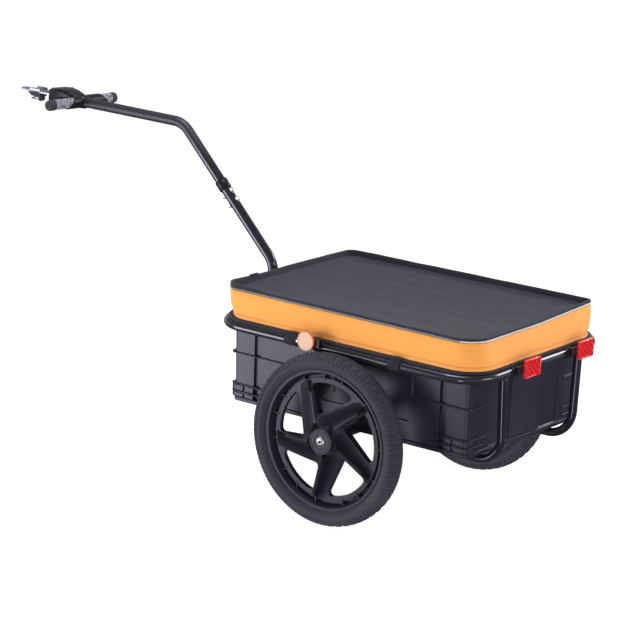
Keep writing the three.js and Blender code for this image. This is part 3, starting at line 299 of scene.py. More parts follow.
def piping_cloth():
    """Silver-grey reflective tape sewn over a cord, with a painted highlight that makes it lighter
    behind than along the sides.
    """
    made = Finish("silver_piping", screen(136, 137, 145), 0.5, Specular_IOR_Level=0.4)
    grain, pucker = made.cells(1500), made.mottle(120, 3)
    behind = made.parts()[0] < AXLE_X - PAINTED_HIGHLIGHT_LINE
    tone = made.mixed(grain + pucker * 0.3, made.colour, screen(98, 99, 108))
    # Painted highlight: the piping behind the line is lightened, as if its rear edge caught the
    # light
    tone = made.mixed(behind * 0.7, tone, screen(214, 214, 220))
    return made.done(tone, 0.45 + pucker * 0.3, grain + pucker * 2, 0.0002)


def lens(name, face, deep, rim, pitch, axis):
    """A prismatic reflector that faces along an axis: small cube corners and a deeper rim."""
    made = Finish(name, face, 0.12, Coat_Weight=0.15, Coat_Roughness=0.05, Specular_IOR_Level=0.3)
    x, y, z = made.parts()
    turn = FULL_TURN / pitch
    prisms = ((x + y) * turn).sine() * (z * turn).sine()
    cloud = made.mottle(60, 2)
    normal = [abs(part) for part in made.parts(made.node("NewGeometry")[1])[:2]]
    level = (normal[0] + normal[1] > 0.93) * ((normal[0] < 0.2) + (normal[1] < 0.2))
    tone = made.mixed(prisms * 0.4 + 0.3 + cloud * 0.3, face, deep)
    tone = made.mixed(level * (normal[axis] > 0.8), rim, tone)
    return made.done(tone, 0.1 + cloud * 0.12, prisms, 0.0004, 0.7)


def metal(name, colour, roughness, brushed):
    """Plated steel, with fine lines along it and slight tarnish."""
    made = Finish(name, colour, roughness, Metallic=1.0)
    lines, tarnish = made.mottle(260, 3, stretch=brushed), made.mottle(45, 4)
    tone = made.mixed(tarnish * 0.35, colour, dimmed(colour, 0.6))
    return made.done(tone, roughness + lines * 0.14, lines, 0.00005)


def grip_rubber():
    """Grey grip rubber with rows of raised dots."""
    made = Finish("grey_grip_rubber", screen(138, 137, 147), 0.7, Specular_IOR_Level=0.3)
    bead = (made.cells(120) < 0.4) * 1.0
    dust = made.mottle(70, 3)
    tone = made.mixed(bead * 0.55 + dust * 0.5, made.colour, screen(58, 58, 66))
    return made.done(tone, 0.6 + dust * 0.2, bead, 0.0005)


finishes = {
    "frame_paint": paint(),
    "tub_plastic": moulding("charcoal_tub_plastic", screen(21, 20, 32), 0.42, 0.38),
    "wheel_plastic": moulding("graphite_wheel_plastic", screen(26, 25, 32), 0.44, 0.24, 1200),
    "tyre_rubber": rubber("tyre_rubber", screen(38, 37, 46), rings=True),
    "tube_rubber": rubber("tube_rubber", screen(30, 30, 33)),
    "black_plastic": moulding("black_fitting_plastic", screen(15, 14, 18), 0.38, 0.2, 900),
    "orange_fabric": cloth(
        "orange_cover_cloth", screen(233, 156, 66), screen(223, 140, 54), 0.0013, 0.00022,
        seam=0.009, Sheen_Weight=0.15,
    ),
    "black_fabric": cloth(
        "black_cover_cloth", screen(38, 37, 50), screen(27, 26, 36), 0.0012, 0.0002,
        Sheen_Weight=0.1, Sheen_Roughness=0.4, Specular_IOR_Level=0.3,
    ),
    "silver_piping": piping_cloth(),
    "webbing": webbing(),
    "amber_lens": lens(
        "amber_lens", screen(200, 166, 148), screen(190, 140, 106), screen(196, 96, 24), 0.0042, 1,
    ),
    "red_lens": lens(
        "red_lens", screen(212, 8, 22), screen(104, 2, 10), screen(206, 36, 48), 0.016, 0,
    ),
    "grip_rubber": grip_rubber(),
    "cap_rubber": rubber("dark_cap_rubber", screen(30, 30, 33)),
    "zinc_steel": metal("zinc_plate", (0.25, 0.28, 0.33, 1), 0.42, (1, 8, 8)),
    "bright_steel": metal("bright_plate", (0.46, 0.46, 0.48, 1), 0.32, (8, 8, 1)),
}


# Shapes

def polar(radius, degrees):
    return radius * math.cos(math.radians(degrees)), radius * math.sin(math.radians(degrees))


def arc(radius, angles, middle=(0, 0)):
    """Points on an arc, at angles in degrees."""
    points = (polar(radius, angle) for angle in angles)
    return [(middle[0] + a, middle[1] + b) for a, b in points]


def circle(radius, sides=24, middle=(0, 0)):
    return arc(radius, (360 * i / sides for i in range(sides)), middle)


def rounded(corners, radii, steps=10, closed=False):
    """A path through corners, each turned into an arc, or left as it is where its radius is 0."""
    points = [Vector(corner) for corner in corners]
    radii = radii if isinstance(radii, (list, tuple)) else [radii] * len(points)
    path = []
    for i, (corner, radius) in enumerate(zip(points, radii)):
        if not radius or not closed and i in (0, len(points) - 1):
            path.append(corner)
            continue
        back = (points[i - 1] - corner).normalized()
        onward = (points[(i + 1) % len(points)] - corner).normalized()
        half = back.angle(onward) / 2
        middle = corner + (back + onward).normalized() * (radius / math.sin(half))
        reach = radius / math.tan(half)
        start, end = corner + back * reach - middle, corner + onward * reach - middle
        path += [
            middle + start.slerp(end, step / steps).normalized() * radius
            for step in range(steps + 1)
        ]
    return path


def outline(corners, radii, steps=4):
    """A closed level path through corners, rounded."""
    return rounded([(*corner, 0) for corner in corners], radii, steps, closed=True)


def flat_section(width, height, corner, steps=3):
    """A rectangle with round corners, about its middle."""
    w, h = width / 2, height / 2
    return [(x, y) for x, y, _ in outline([(w, h), (-w, h), (-w, -h), (w, -h)], corner, steps)]


def mirrored(profile):
    """Half a profile and its mirror image, the other way round."""
    return profile + [(radius, -height) for radius, height in reversed(profile)]


def facing(side, ahead):
    return Matrix((side, ahead.cross(side), ahead)).transposed().to_4x4()


def frames(path, up, closed):
    """A frame at each point of a path: Z runs along the path and Y towards up."""
    made = []
    for i, point in enumerate(path):
        before = path[i - 1] if closed or i else point
        after = path[(i + 1) % len(path)] if closed or i < len(path) - 1 else point
        ahead = (after - before).normalized()
        made.append(Matrix.Translation(point) @ facing(up.cross(ahead).normalized(), ahead))
    return made


def along(start, direction, up=UP):
    """A place whose Z points in a direction."""
    ahead = Vector(direction).normalized()
    return Matrix.Translation(start) @ facing(Vector(up).cross(ahead).normalized(), ahead)


def kept(geometry, kind):
    return [g for g in geometry if isinstance(g, kind)]


def within(share):
    return max(0, min(1, share))


class Shape:
    """A mesh in the making, in millimetres, to which each call adds a form."""

    def __init__(self):
        self.bm = bmesh.new()

    def loop(self, points):
        """The vertices and the edges of a closed outline."""
        verts = [self.bm.verts.new(point) for point in points]
        return verts, [self.bm.edges.new((verts[i - 1], verts[i])) for i in range(len(verts))]

    def since(self, before):
        return [v for v in self.bm.verts if v not in before]

    def sweep(self, path, section, up=UP, closed=False):
        """Draws a closed section along a path, and caps its ends."""
        bm = self.bm
        places = frames([Vector(point) for point in path], up, closed)
        made, first = self.loop([places[0] @ Vector((a, b, 0)) for a, b in section])
        edges = first
        for here, there in zip(places, places[1:] + places[:1] * closed):
            grown = bmesh.ops.extrude_edge_only(bm, edges=edges)["geom"]
            edges, verts = kept(grown, bmesh.types.BMEdge), kept(grown, bmesh.types.BMVert)
            bmesh.ops.transform(bm, matrix=there @ here.inverted(), verts=verts)
            made = made + verts
        if closed:
            bmesh.ops.remove_doubles(bm, verts=made, dist=0.001)
        else:
            for loop in (first, edges):
                bmesh.ops.contextual_create(bm, geom=loop)
        return self

    def turned(self, profile, sides=64, place=Matrix(), closed=None):
        """Spins (radius, height) pairs about Z; a profile that starts off the axis is closed."""
        bm = self.bm
        closed = profile[0][0] > 0 if closed is None else closed
        verts = [bm.verts.new((radius, 0, height)) for radius, height in profile]
        edges = [bm.edges.new(pair) for pair in zip(verts, verts[1:] + verts[:1] * closed)]
        before = set(bm.verts) - set(verts)
        bmesh.ops.spin(
            bm, geom=verts + edges, cent=(0, 0, 0), axis=(0, 0, 1),
            angle=FULL_TURN, steps=sides, use_merge=True, use_duplicate=False,
        )
        bmesh.ops.remove_doubles(bm, verts=self.since(before), dist=0.001)
        bmesh.ops.transform(bm, matrix=place, verts=self.since(before))
        return self

    def loft(self, rings, closed=False, capped=True):
        """Joins rings of points in turn, and closes the two ends, or the last to the first."""
        loops = [self.loop(ring)[1] for ring in rings]
        for lower, upper in zip(loops, loops[1:] + loops[:1] * closed):
            bmesh.ops.bridge_loops(self.bm, edges=lower + upper)
        if capped and not closed:
            for loop in (loops[0], loops[-1]):
                bmesh.ops.contextual_create(self.bm, geom=loop)
        return self

    def raised(self, faces, height):
        """Draws a solid out of faces."""
        grown = bmesh.ops.extrude_face_region(self.bm, geom=faces)["geom"]
        bmesh.ops.translate(self.bm, vec=(0, 0, height), verts=kept(grown, bmesh.types.BMVert))

    def slab(self, outlines, low, high, place=Matrix()):
        """A plate between two heights; outlines inside the first are holes."""
        before = set(self.bm.verts)
        edges = []
        for points in outlines:
            edges += self.loop([(point[0], point[1], low) for point in points])[1]
        filled = bmesh.ops.triangle_fill(self.bm, use_beauty=True, use_dissolve=True, edges=edges)
        self.raised(kept(filled["geom"], bmesh.types.BMFace), high - low)
        bmesh.ops.transform(self.bm, matrix=place, verts=self.since(before))
        return self

    def block(self, low, high):
        """A box between two corners."""
        low, high = Vector(low), Vector(high)
        place = Matrix.Translation((low + high) / 2) @ Matrix.Diagonal((*(high - low), 1))
        bmesh.ops.create_cube(self.bm, size=1, matrix=place)
        return self

    def weld(self, middle, direction, radius):
        """A bead of weld round the foot of a tube."""
        bead = [(radius + a, b) for a, b in circle(1.5, 8)]
        return self.turned(bead, 28, along(middle, direction, AHEAD))

    def settled(self, name, body, finish, stands_for=None, place=Matrix(), sharp=38, bevel=0):
        """Makes the finished piece, in metres and in its place, that rides on a body."""
        bm = self.bm
        bmesh.ops.remove_doubles(bm, verts=bm.verts, dist=0.001)
        bmesh.ops.transform(bm, matrix=place, verts=bm.verts)
        bmesh.ops.scale(bm, vec=(MM, MM, MM), verts=bm.verts)
        bmesh.ops.translate(bm, vec=(AXLE_X, 0, 0), verts=bm.verts)
        bmesh.ops.recalc_face_normals(bm, faces=bm.faces)
        data = bpy.data.meshes.new(name)
        bm.to_mesh(data)
        bm.free()
        data.polygons.foreach_set("use_smooth", [True] * len(data.polygons))
        data.set_sharp_from_angle(angle=math.radians(sharp))
        piece = linked(name, data)
        data.materials.append(finishes[finish])
        if bevel:
            edge = piece.modifiers.new("soft_edges", "BEVEL")
            edge.width, edge.segments, edge.limit_method = bevel * MM, 2, "ANGLE"
            edge.angle_limit = math.radians(35)
            edge.harden_normals = True
        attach(piece, body)
        if stands_for:
            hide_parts(stands_for)
        return piece


# Welded frame

RING_FRONT, RING_REAR, RING_SIDE, RING_Z = 361, -366, 263.5, 398
RING = (RING_FRONT, RING_REAR, RING_SIDE, [83] * 4)
TUBE = 10
HOOP_LOW, BRACE_Z = 189.5, 250


def level_ring(shape, height, xs=(), ys=(), steps=8):
    """A level rectangle with round corners, with more points at places on its sides."""
    front, rear, half_width, corners = shape

    def turn(x, y, quarter):
        c = corners[quarter]
        middle = (x - math.copysign(c, x), y - math.copysign(c, y))
        return arc(c, (90 * (quarter + i / steps) for i in range(steps + 1)), middle)

    points = [(front, y) for y in ys] + turn(front, half_width, 0)
    points += [(x, half_width) for x in reversed(xs)] + turn(rear, half_width, 1)
    points += [(rear, y) for y in reversed(ys)] + turn(rear, -half_width, 2)
    points += [(x, -half_width) for x in xs] + turn(front, -half_width, 3)
    return [Vector((x, y, height)) for x, y in points]


def frame_tubes():
    ring = Shape().sweep(level_ring(RING, RING_Z, steps=14), circle(TUBE, 28), closed=True)
    ring.settled("ring_tube", *PAINTED, "ring_frame")
    for name, side in SIDES.items():
        top, low = (side * 152.5, RING_Z - 4), (side * 142, HOOP_LOW)
        corners = [(RING_REAR, *top), (RING_REAR, *low), (RING_FRONT, *low), (RING_FRONT, *top)]
        hoop = Shape().sweep(rounded(corners, 62, 12), circle(TUBE), up=LEFT)
        for x in (RING_REAR, RING_FRONT):
            hoop.weld((x, side * 152, RING_Z - 9), UP, TUBE)
        hoop.settled(f"{name}_hoop_tube", *PAINTED, f"hoop_{name}")
    axle = Shape().turned(mirrored([(6.6, -272.7), (9.4, -272.7), (TUBE, -272)]), 32)
    brace = Shape().sweep([(RING_FRONT, y, BRACE_Z) for y in (-140, 140)], circle(9))
    for side in SIDES.values():
        axle.weld((0, 0, side * 131.5), UP, TUBE).weld((0, 0, side * 152.5), UP, TUBE)
        brace.weld((RING_FRONT, side * 134.8, BRACE_Z), LEFT, 9)
    axle.settled("axle_tube", *PAINTED, "axle_beam", along((0, 0, AXLE_Z), LEFT))
    brace.settled("brace_tube", *PAINTED, "front_brace")


# Wheels, built about Z with +Z outboard, X to the rear and Y up on the left wheel

def wheel_place(side):
    turn = Matrix(((-side, 0, 0), (0, 0, side), (0, 1, 0))).to_4x4()
    return Matrix.Translation((0, side * HALF_TRACK, AXLE_Z)) @ turn


TREAD_STEPS, TREAD_FOOT, TREAD_EDGE = 112, 184, 191
WALL = [
    (157.7, 12.3), (160, 12.8), (163.4, 12.8), (165.4, 14.4), (168.6, 18.4), (169.4, 18.5),
    (172, 21.2), (176, 22.4), (176.6, 22.9), (181.3, 23), (183.2, 22.7), (183.8, 22.1),
]
TREAD = [(192.4, 18.9), (195.5, 14.4), (197.0, 9.2), (197.8, 3.1)]
CAVITY = [(164.5, -11), (170, -16.6), (178, -19.6), (186, -18.6), (192, -12), (193.6, -4)]
SPOKES = [111.6 - 72 * i for i in range(5)]
WEB_FACE, WEB_THICK, CHANNEL_DEEP = 4, 12, 10


def middle_of(face):
    return face.calc_center_median()


def looks_out(face):
    """Whether a face looks away from the Z axis."""
    middle = middle_of(face)
    return face.normal.dot(Vector((middle.x, middle.y, 0))) > 0


def tyre(name, body, place):
    casing = Shape().turned(mirrored(WALL + TREAD) + mirrored(CAVITY), TREAD_STEPS)
    bmesh.ops.recalc_face_normals(casing.bm, faces=casing.bm.faces)
    blocks, bars = [], []
    for face in casing.bm.faces:
        middle = middle_of(face)
        out, off = math.hypot(middle.x, middle.y), abs(middle.z)
        if not looks_out(face) or out < TREAD_FOOT:
            continue
        step = round(math.atan2(middle.y, middle.x) / math.pi * TREAD_STEPS / 2 - 0.5)
        if out < TREAD_EDGE:
            bars.append(face)
        elif off > 12 or (step + (off > 5) + (middle.z > 3) * 2) % 2:
            blocks.append(face)
    for faces, thickness, depth in ((blocks, 1.2, 2.1), (bars, 2.5, 2.2)):
        bmesh.ops.inset_individual(
            casing.bm, faces=faces, thickness=thickness, depth=depth, use_even_offset=True,
        )
    casing.settled(f"{name}_tyre_casing", body, "tyre_rubber", f"{body}_tyre", place, 30)


def opening(start):
    """One gap between spokes: a radial edge, an arc under the rim and a slanting edge."""
    under_rim = arc(131, (start - 55 * s for s in (0, 0.16, 0.28, 0.4, 0.5, 0.6, 0.72, 0.84, 1)))
    return outline([polar(59.7, start), *under_rim], [9, 9, 0, 0, 0, 0, 0, 0, 0, 9], 6)


def channel(start):
    """The sunk channel down one spoke, wide at the hub."""
    corners = ((137.5, 5.6), (31, 56), (31, 33), (31, 10), (137.5, 2.2))
    return outline([polar(radius, start + turn) for radius, turn in corners], 1.6, 3)


def rim(name, body, place):
    barrel = [
        (162, 14.2), (162, 13.2), (157.2, 12.6), (157.2, -12.6), (162, -13.2), (162, -14.2),
        (161.2, -14.95), (156, -14.95), (155, -14.2), (149.6, -9), (149, -8), (140, -8),
        (140, -3.4), (147.6, -3.4), (148.8, -2.4), (150.4, 4), (154.6, 13), (155.4, 14.3),
        (156.4, 14.95), (161.2, 14.95),
    ]
    hub = [
        (36, 0), (33, 16), (30.4, 25.6), (29, 27), (26.4, 27), (25.8, 26.1), (24.2, 26.1),
        (23.6, 27), (18.6, 27), (17.5, 26), (12, 26), (11.4, 25.6), (11.4, 24.8), (16.3, 24.6),
        (16.3, 16.1), (12, 16.1), (12, -13.7), (16.3, -13.7), (16.3, -21.4), (16.9, -22),
        (19.4, -22), (20, -21.4), (23, -8.5), (36, -7),
    ]
    made = Shape().turned(barrel, 120).turned(hub, 72)
    for start in SPOKES:
        for shift, thick in ((6, 2), (-17, 2.2), (-36, 2.2)):
            tick = Matrix.Translation((147, 0, 0.5)) @ Matrix.Diagonal((17, thick, 11, 1))
            turn = Matrix.Rotation(math.radians(start + shift), 4, "Z")
            bmesh.ops.create_cube(made.bm, size=1, matrix=turn @ tick)
    made.settled(f"{name}_rim_barrel", body, "wheel_plastic", f"{body}_rim", place, 32)
    spoke_web().settled(f"{name}_spoke_web", body, "wheel_plastic", None, place, 24, bevel=1.1)


def finer_path(points, step):
    """A closed path with points added, so that no two are further apart than a step."""
    path = []
    for start, end in zip(points, points[1:] + points[:1]):
        count = max(1, math.ceil((end - start).length / step))
        path += [start.lerp(end, i / count) for i in range(count)]
    return path


def spoke_web():
    """The web between rim and hub: five spokes that rise to the hub, each with a sunk channel."""
    web = Shape()
    outlines = [circle(142.5, 96), circle(26, 36)]
    outlines += [opening(start) for start in SPOKES] + [channel(start) for start in SPOKES]
    paths = ([Vector((*point[:2], WEB_FACE)) for point in points] for points in outlines)
    rims, loops = zip(*(web.loop(finer_path(path, 5)) for path in paths))

    def filled(edges):
        made = bmesh.ops.triangle_fill(web.bm, use_beauty=True, edges=edges)["geom"]
        return kept(made, bmesh.types.BMFace)

    filled([edge for loop in loops for edge in loop])
    sunk = [face for loop in loops[-5:] for face in filled(loop)]
    web.raised(list(web.bm.faces), -WEB_THICK)
    web.raised(sunk, -CHANNEL_DEEP)
    for i, verts in enumerate(rims):
        lift = 7 if 2 <= i < 7 else 19
        for vert in verts:
            vert.co.z += lift * within((133 - vert.co.to_2d().length) / 99)
    return web


def wheel_fittings(name, body, place):
    """The inner tube with its valve, the bearings, the axle pin and its button."""
    stem = Matrix.Rotation(math.radians(86), 4, "Z") @ Matrix.Translation((0, 0, -2))
    stem = stem @ along((0, 0, 0), AHEAD, LEFT)
    cap = [(0, 113), (3, 113), (4, 114.2), (4, 121.4), (3.4, 122.6), (3.2, 123.4), (0, 123.4)]
    tube = Shape().turned([(176 + a * 0.95, b) for a, b in circle(15, 20)], 96)
    tube.turned([(0, 166), (3.2, 166), (3.2, 124), (2.6, 123), (2.6, 113.4), (0, 113)], 20, stem)
    tube.turned(cap, 14, stem)
    tube.settled(f"{name}_valve_tube", body, "tube_rubber", f"{body}_inner_tube", place)
    for part, face in (("outer", 24.4), ("inner", -14)):
        rings = Shape()
        for low, high, deep in ((13.6, 16, 0), (9.4, 13.4, 0.7), (6.7, 9.2, 0)):
            top, foot = face - deep, face - 8 + deep
            edge = [(high, top - 0.3), (high - 0.3, top), (low + 0.3, top), (low, top - 0.3)]
            rings.turned([(low, foot), (high, foot), *edge], 40)
        node = f"{body}_{part}_bearing"
        rings.settled(f"{name}_{part}_ball_bearing", body, "bright_steel", node, place, 30)
    pin = Shape().turned([
        (0, -90), (5.2, -90), (6, -89), (6, 26.2), (10.4, 26.2), (11, 26.7), (11, 27.5),
        (10.2, 28.4), (8.8, 29.2), (7.2, 29.9), (6.2, 30.2), (5.4, 30.3), (4.8, 29.4),
        (3.4, 29.4), (3.4, 18), (0, 18),
    ])
    body, node = f"axle_{name}", f"axle_pin_{name}"
    pin.settled(f"{name}_quick_release_pin", body, "bright_steel", node, place, 30)
    dome = [(0, 20.3), (3, 20.3), (3, 31.4), (2.5, 32), (1.4, 32.2), (0, 32.1)]
    body, node = f"button_{name}", f"release_button_{name}"
    Shape().turned(dome, 28).settled(f"{name}_push_button", body, "black_plastic", node, place, 30)


# Tub

TUB_LOW, TUB_RIM, TUB_TOP = 208.5, 408.2, 412.2
TUB_END, TUB_SIDE, WALL_LOW, WALL_HIGH = 330, 225, 220, 397
RIM = (355.5, -360.5, 258, [77.5] * 4)
GROOVES = ((-266, -249), (252, 269))
WALL_XS = (-266, -249, -168, -84, 0, 84, 168, 252, 269)
WALL_YS = (-186, -134, -62, 0, 62, 134, 186)


def draft(height):
    """How far in the wall stands at a height."""
    return 4 * (TUB_RIM - height) / (TUB_RIM - TUB_LOW)


def tub_ring(height, proud):
    """The tub's wall at a height, moved out by proud."""
    grow = proud - draft(height)
    shape = (TUB_END + grow, -TUB_END - grow, TUB_SIDE + grow, [max(3, 11 + proud)] * 4)
    return level_ring(shape, height, WALL_XS, WALL_YS)


def spread(shape, out):
    """A level outline moved out, or in where out is negative."""
    front, rear, half_width, corners = shape
    return front + out, rear - out, half_width + out, [max(3, corner + out) for corner in corners]


def rim_ring(height, inset=0):
    return level_ring(spread(RIM, -inset), height, WALL_XS, WALL_YS)


def tub():
    wall_top, rim_low = tub_ring(396.2, 0), rim_ring(TUB_RIM)
    rings = [tub_ring(*at) for at in (
        (TUB_LOW, -3), (209.1, 1.2), (210.9, 2.8), (217.5, 3), (218.5, 2.4), (219.5, 0),
        (262, 0), (300, 0), (340, 0), (380, 0),
    )] + [wall_top]
    for share, height in ((0.18, 400.5), (0.6, 404.6), (0.94, 407.2)):
        pairs = zip(wall_top, rim_low)
        rings.append([Vector((*low.lerp(high, share).to_2d(), height)) for low, high in pairs])
    rings += [rim_ring(TUB_RIM + 1), rim_ring(TUB_TOP - 0.6), rim_ring(TUB_TOP, 1)]
    rings += [tub_ring(*at) for at in (
        (TUB_TOP, -3), (TUB_TOP - 2, -4), (402, -7), (300, -7), (219.5, -7), (215, -8),
        (213.5, -11),
    )]
    made = Shape().loft(rings)
    bm = made.bm
    bmesh.ops.recalc_face_normals(bm, faces=bm.faces)

    def wall(axis, side):
        flat = [f for f in bm.faces if WALL_LOW < middle_of(f).z < WALL_HIGH and looks_out(f)]
        return [f for f in flat if f.normal[axis] * side > 0.9]

    def inset(faces, thickness, depth, test):
        chosen = [f for f in faces if f.is_valid and test(*middle_of(f))]
        bmesh.ops.inset_region(
            bm, faces=chosen, thickness=thickness, depth=depth, use_even_offset=True,
        )

    for side in SIDES.values():
        sides = wall(1, side)
        inset(sides, 2.5, -2, lambda x, y, z: -168 < x < 84 and z > 262)
        inset(sides, 0.5, -5.6, lambda x, y, z: any(low < x < high for low, high in GROOVES))
        ends = wall(0, side)
        inset(ends, 2.5, -2.4, lambda x, y, z: 62 < abs(y) < 134)
        inset(ends, 2, 2.4, lambda x, y, z: abs(y) < 62)
    for end in (1, -1):
        for side in SIDES.values():
            wall_ribs(made, end, side)
    made.settled("moulded_tub", "tub", "tub_plastic", "tub", sharp=32, bevel=0.8)


def wall_ribs(made, end, side):
    """The raised beads round one corner of the tub, set a little into its wall."""
    proud, groove, gap = (7, GROOVES[1], (286, 298)) if end > 0 else (0, (249, 266), (285, 295))
    bead = flat_section(6 + proud, 3.4, 1.5)

    def wall(height, x_stop, y_stop=155):
        grow = 1.2 - draft(height)
        x, y = end * (TUB_END + grow + proud / 2), side * (TUB_SIDE + grow - proud / 2)
        path = (end * x_stop, y, height), (x, y, height), (x, side * y_stop, height)
        return [Vector(point) for point in path]

    if end > 0:
        made.sweep(rounded(wall(324, 100), 12, 8), bead)
    else:
        path = wall(322, 176)
        above = path[0] + Vector((0, side * 1.2, 62))
        made.sweep(rounded([above, *path], [0, 9, 12, 0], 8), bead, up=Vector((end, side, 0.6)))
    for height in (231.5, 249.5):
        made.sweep(rounded(wall(height, 236), 12, 8), bead)
    for height, tall in ((224.3, 10), (240.5, 13)):
        strip = flat_section(4 + proud, tall, 0.8)
        for near, far in ((236, groove[0]), (groove[1], gap[0])):
            start, corner, _ = wall(height, near)
            made.sweep([start, (end * far, corner.y, height)], strip)
        made.sweep(rounded(wall(height, gap[1], 196), 12, 8), strip)


# Fabric cover

COVER_LOW, COVER_HIGH = 415.4, 478.4
HEAD_FRONT, HEAD_SIDE = 351, 249
# Corners run from the front left round by the rear left
FOOT = (352, -362.5, 255.5, (64, 74, 60, 60))
HEAD = (HEAD_FRONT, -HEAD_FRONT, HEAD_SIDE, (34, 56, 14, 26))


def rough(*at):
    return noise.noise(Vector(at))


def cover_shape(share, out=0):
    """The cover's outline part way from its foot to its head, moved out."""
    def part_way(foot, head):
        return foot + (head - foot) * share

    return spread((*map(part_way, FOOT[:3], HEAD[:3]), map(part_way, FOOT[3], HEAD[3])), out)


def pulled(point, share):
    """Where a point of the cover sits: pulled in at the front and the far side, and up behind."""
    ahead, far = max(0, point.x / HEAD_FRONT), max(0, -point.y / HEAD_SIDE)
    lift = 9 * far * (0.5 - point.x / (2 * HEAD_FRONT)) * share
    inward = ahead * (12 - 5 * share + 8 * far)
    return Vector((point.x - inward, point.y + far * 24, point.z + lift))


def mapped(bm, length):
    """Lays the cloth flat on its map, in metres: along the outline and up."""
    map_layer = bm.loops.layers.uv.new("cloth_map")
    place = bm.verts.layers.float["place"]
    for face in bm.faces:
        marks = [loop.vert[place] for loop in face.loops]
        wraps = max(marks) - min(marks) > length / 2
        for loop, mark in zip(face.loops, marks):
            if wraps and mark < length / 2:
                mark += length
            loop[map_layer].uv = (mark * MM, (loop.vert.co.z - COVER_LOW) * MM)


def soft_folds(piece):
    finer = piece.modifiers.new("soft_folds", "SUBSURF")
    finer.levels = finer.render_levels = 1


def cloth_thickness(piece):
    wall = piece.modifiers.new("cloth_thickness", "SOLIDIFY")
    wall.thickness, wall.offset = 1.0 * MM, -1


def cover_sides():
    """The orange band, which swells, creases and rolls over at its foot."""
    shares, rise = [i / 14 for i in range(15)], COVER_HIGH - COVER_LOW
    grid = range(-276, 277, 12), range(-180, 181, 12), 12
    rings = [level_ring(cover_shape(share), COVER_LOW + rise * share, *grid) for share in shares]
    foot = rings[0]
    marks, length = [], 0.0
    for a, b in zip(foot, foot[1:] + foot[:1]):
        marks.append(length)
        length += (b - a).length

    def rolled(share, middle):
        return math.exp(-((share - middle) / 0.05) ** 2)

    def swollen(ring, i, share):
        ahead, mark = ring[(i + 1) % len(ring)] - ring[i - 1], marks[i]
        out = Vector((ahead.y, -ahead.x, 0)).normalized()
        crease = rough(mark / 46, share * 0.9, 3.1) * 1.5
        crease += rough(mark / 15 + share * 2.2, share * 1.4, 9.4) * 0.8 * (1 - share)
        swell = 3.2 * math.sin(math.pi * share)
        roll = 1.4 * rolled(share, 0.04) - 1.6 * rolled(share, 0.15)
        swell += roll + crease * math.sin(math.pi * min(1, share * 1.05 + 0.04))
        return pulled(ring[i] + out * swell, share)

    band = Shape()
    place = band.bm.verts.layers.float.new("place")
    band.loft([
        [swollen(ring, i, share) for i in range(len(ring))] for ring, share in zip(rings, shares)
    ], capped=False)
    for i, vert in enumerate(band.bm.verts):
        vert[place] = marks[i % len(marks)]
    mapped(band.bm, length)
    piece = band.settled("orange_side_band", "cover", "orange_fabric", "cover_side_panel", sharp=60)
    cloth_thickness(piece)
    soft_folds(piece)


def cover_hem():
    section = [
        (3.6, 408.6), (4, 409.4), (4.1, 411.4), (3.6, 413), (2.6, 414), (0, 414.6), (-3, 414.9),
        (-7, 418.8), (-7.4, 417), (-6, 413.6), (-1, 413.2), (0, 412.6), (0, 408.9), (0.4, 408.5),
    ]
    base = (356.1, -361.1, 258.6, [78.1] * 4)
    grid = range(-270, 271, 30), range(-175, 176, 25), 12
    hem = Shape().loft([level_ring(spread(base, out), z, *grid) for out, z in section], closed=True)
    hem.settled("elastic_hem", "cover", "black_fabric", "cover_hem", sharp=40)


def cover_edge():
    """The piping and the raised black edge inside it."""
    path = level_ring(cover_shape(1), 480.7, range(-290, 291, 10), range(-190, 191, 10), 14)
    wavy = [pulled(point, 1) + UP * (rough(*point / 40) * 0.5) for point in path]
    piping = Shape().sweep(wavy, circle(1.7, 16), closed=True)
    piping.settled("silver_piping_cord", "cover", "silver_piping", "cover_piping")
    section = [
        (0.4, 482.2), (0.6, 485.4), (0, 487.4), (-1.4, 488.4), (-3.6, 488.4), (-5, 487.4),
        (-6.2, 485), (-7.2, 479), (-9, 474.4), (-8, 474), (-4, 478.6), (-2, 481.4),
    ]
    grid = range(-280, 281, 20), range(-180, 181, 20), 12
    rings = [level_ring(cover_shape(1, out), height, *grid) for out, height in section]
    for ring in rings:
        for point in ring:
            corner = (Vector((340, 240)) - point.to_2d()).length
            peak = 5 * max(0, 1 - corner / 110) * within((point.z - 478) / 8)
            point.z += peak + rough(point.x / 60, point.y / 60, 2)
    edge = Shape().loft([[pulled(point, 1) for point in ring] for ring in rings], closed=True)
    edge.settled("raised_top_edge", "cover", "black_fabric", sharp=50)


def hung(piece, edge):
    """The places of a sheet's points once it has sunk under its own weight, held by its edge."""
    piece.vertex_groups.new(name="sewn_edge").add(edge, 1, "REPLACE")
    drape = piece.modifiers.new("drape", "CLOTH")
    for key, value in {
        "quality": 6, "mass": 0.25, "tension_stiffness": 40, "compression_stiffness": 40,
        "shear_stiffness": 20, "bending_stiffness": 0.4, "shrink_min": -0.012,
        "vertex_group_mass": "sewn_edge",
    }.items():
        setattr(drape.settings, key, value)
    drape.point_cache.frame_start, drape.point_cache.frame_end = 1, 40
    for step in range(1, 41):
        scene.frame_set(step)
    sunk = piece.evaluated_get(bpy.context.evaluated_depsgraph_get()).to_mesh()
    places = [v.co.copy() for v in sunk.vertices]
    piece.modifiers.remove(drape)
    scene.frame_set(1)
    return places


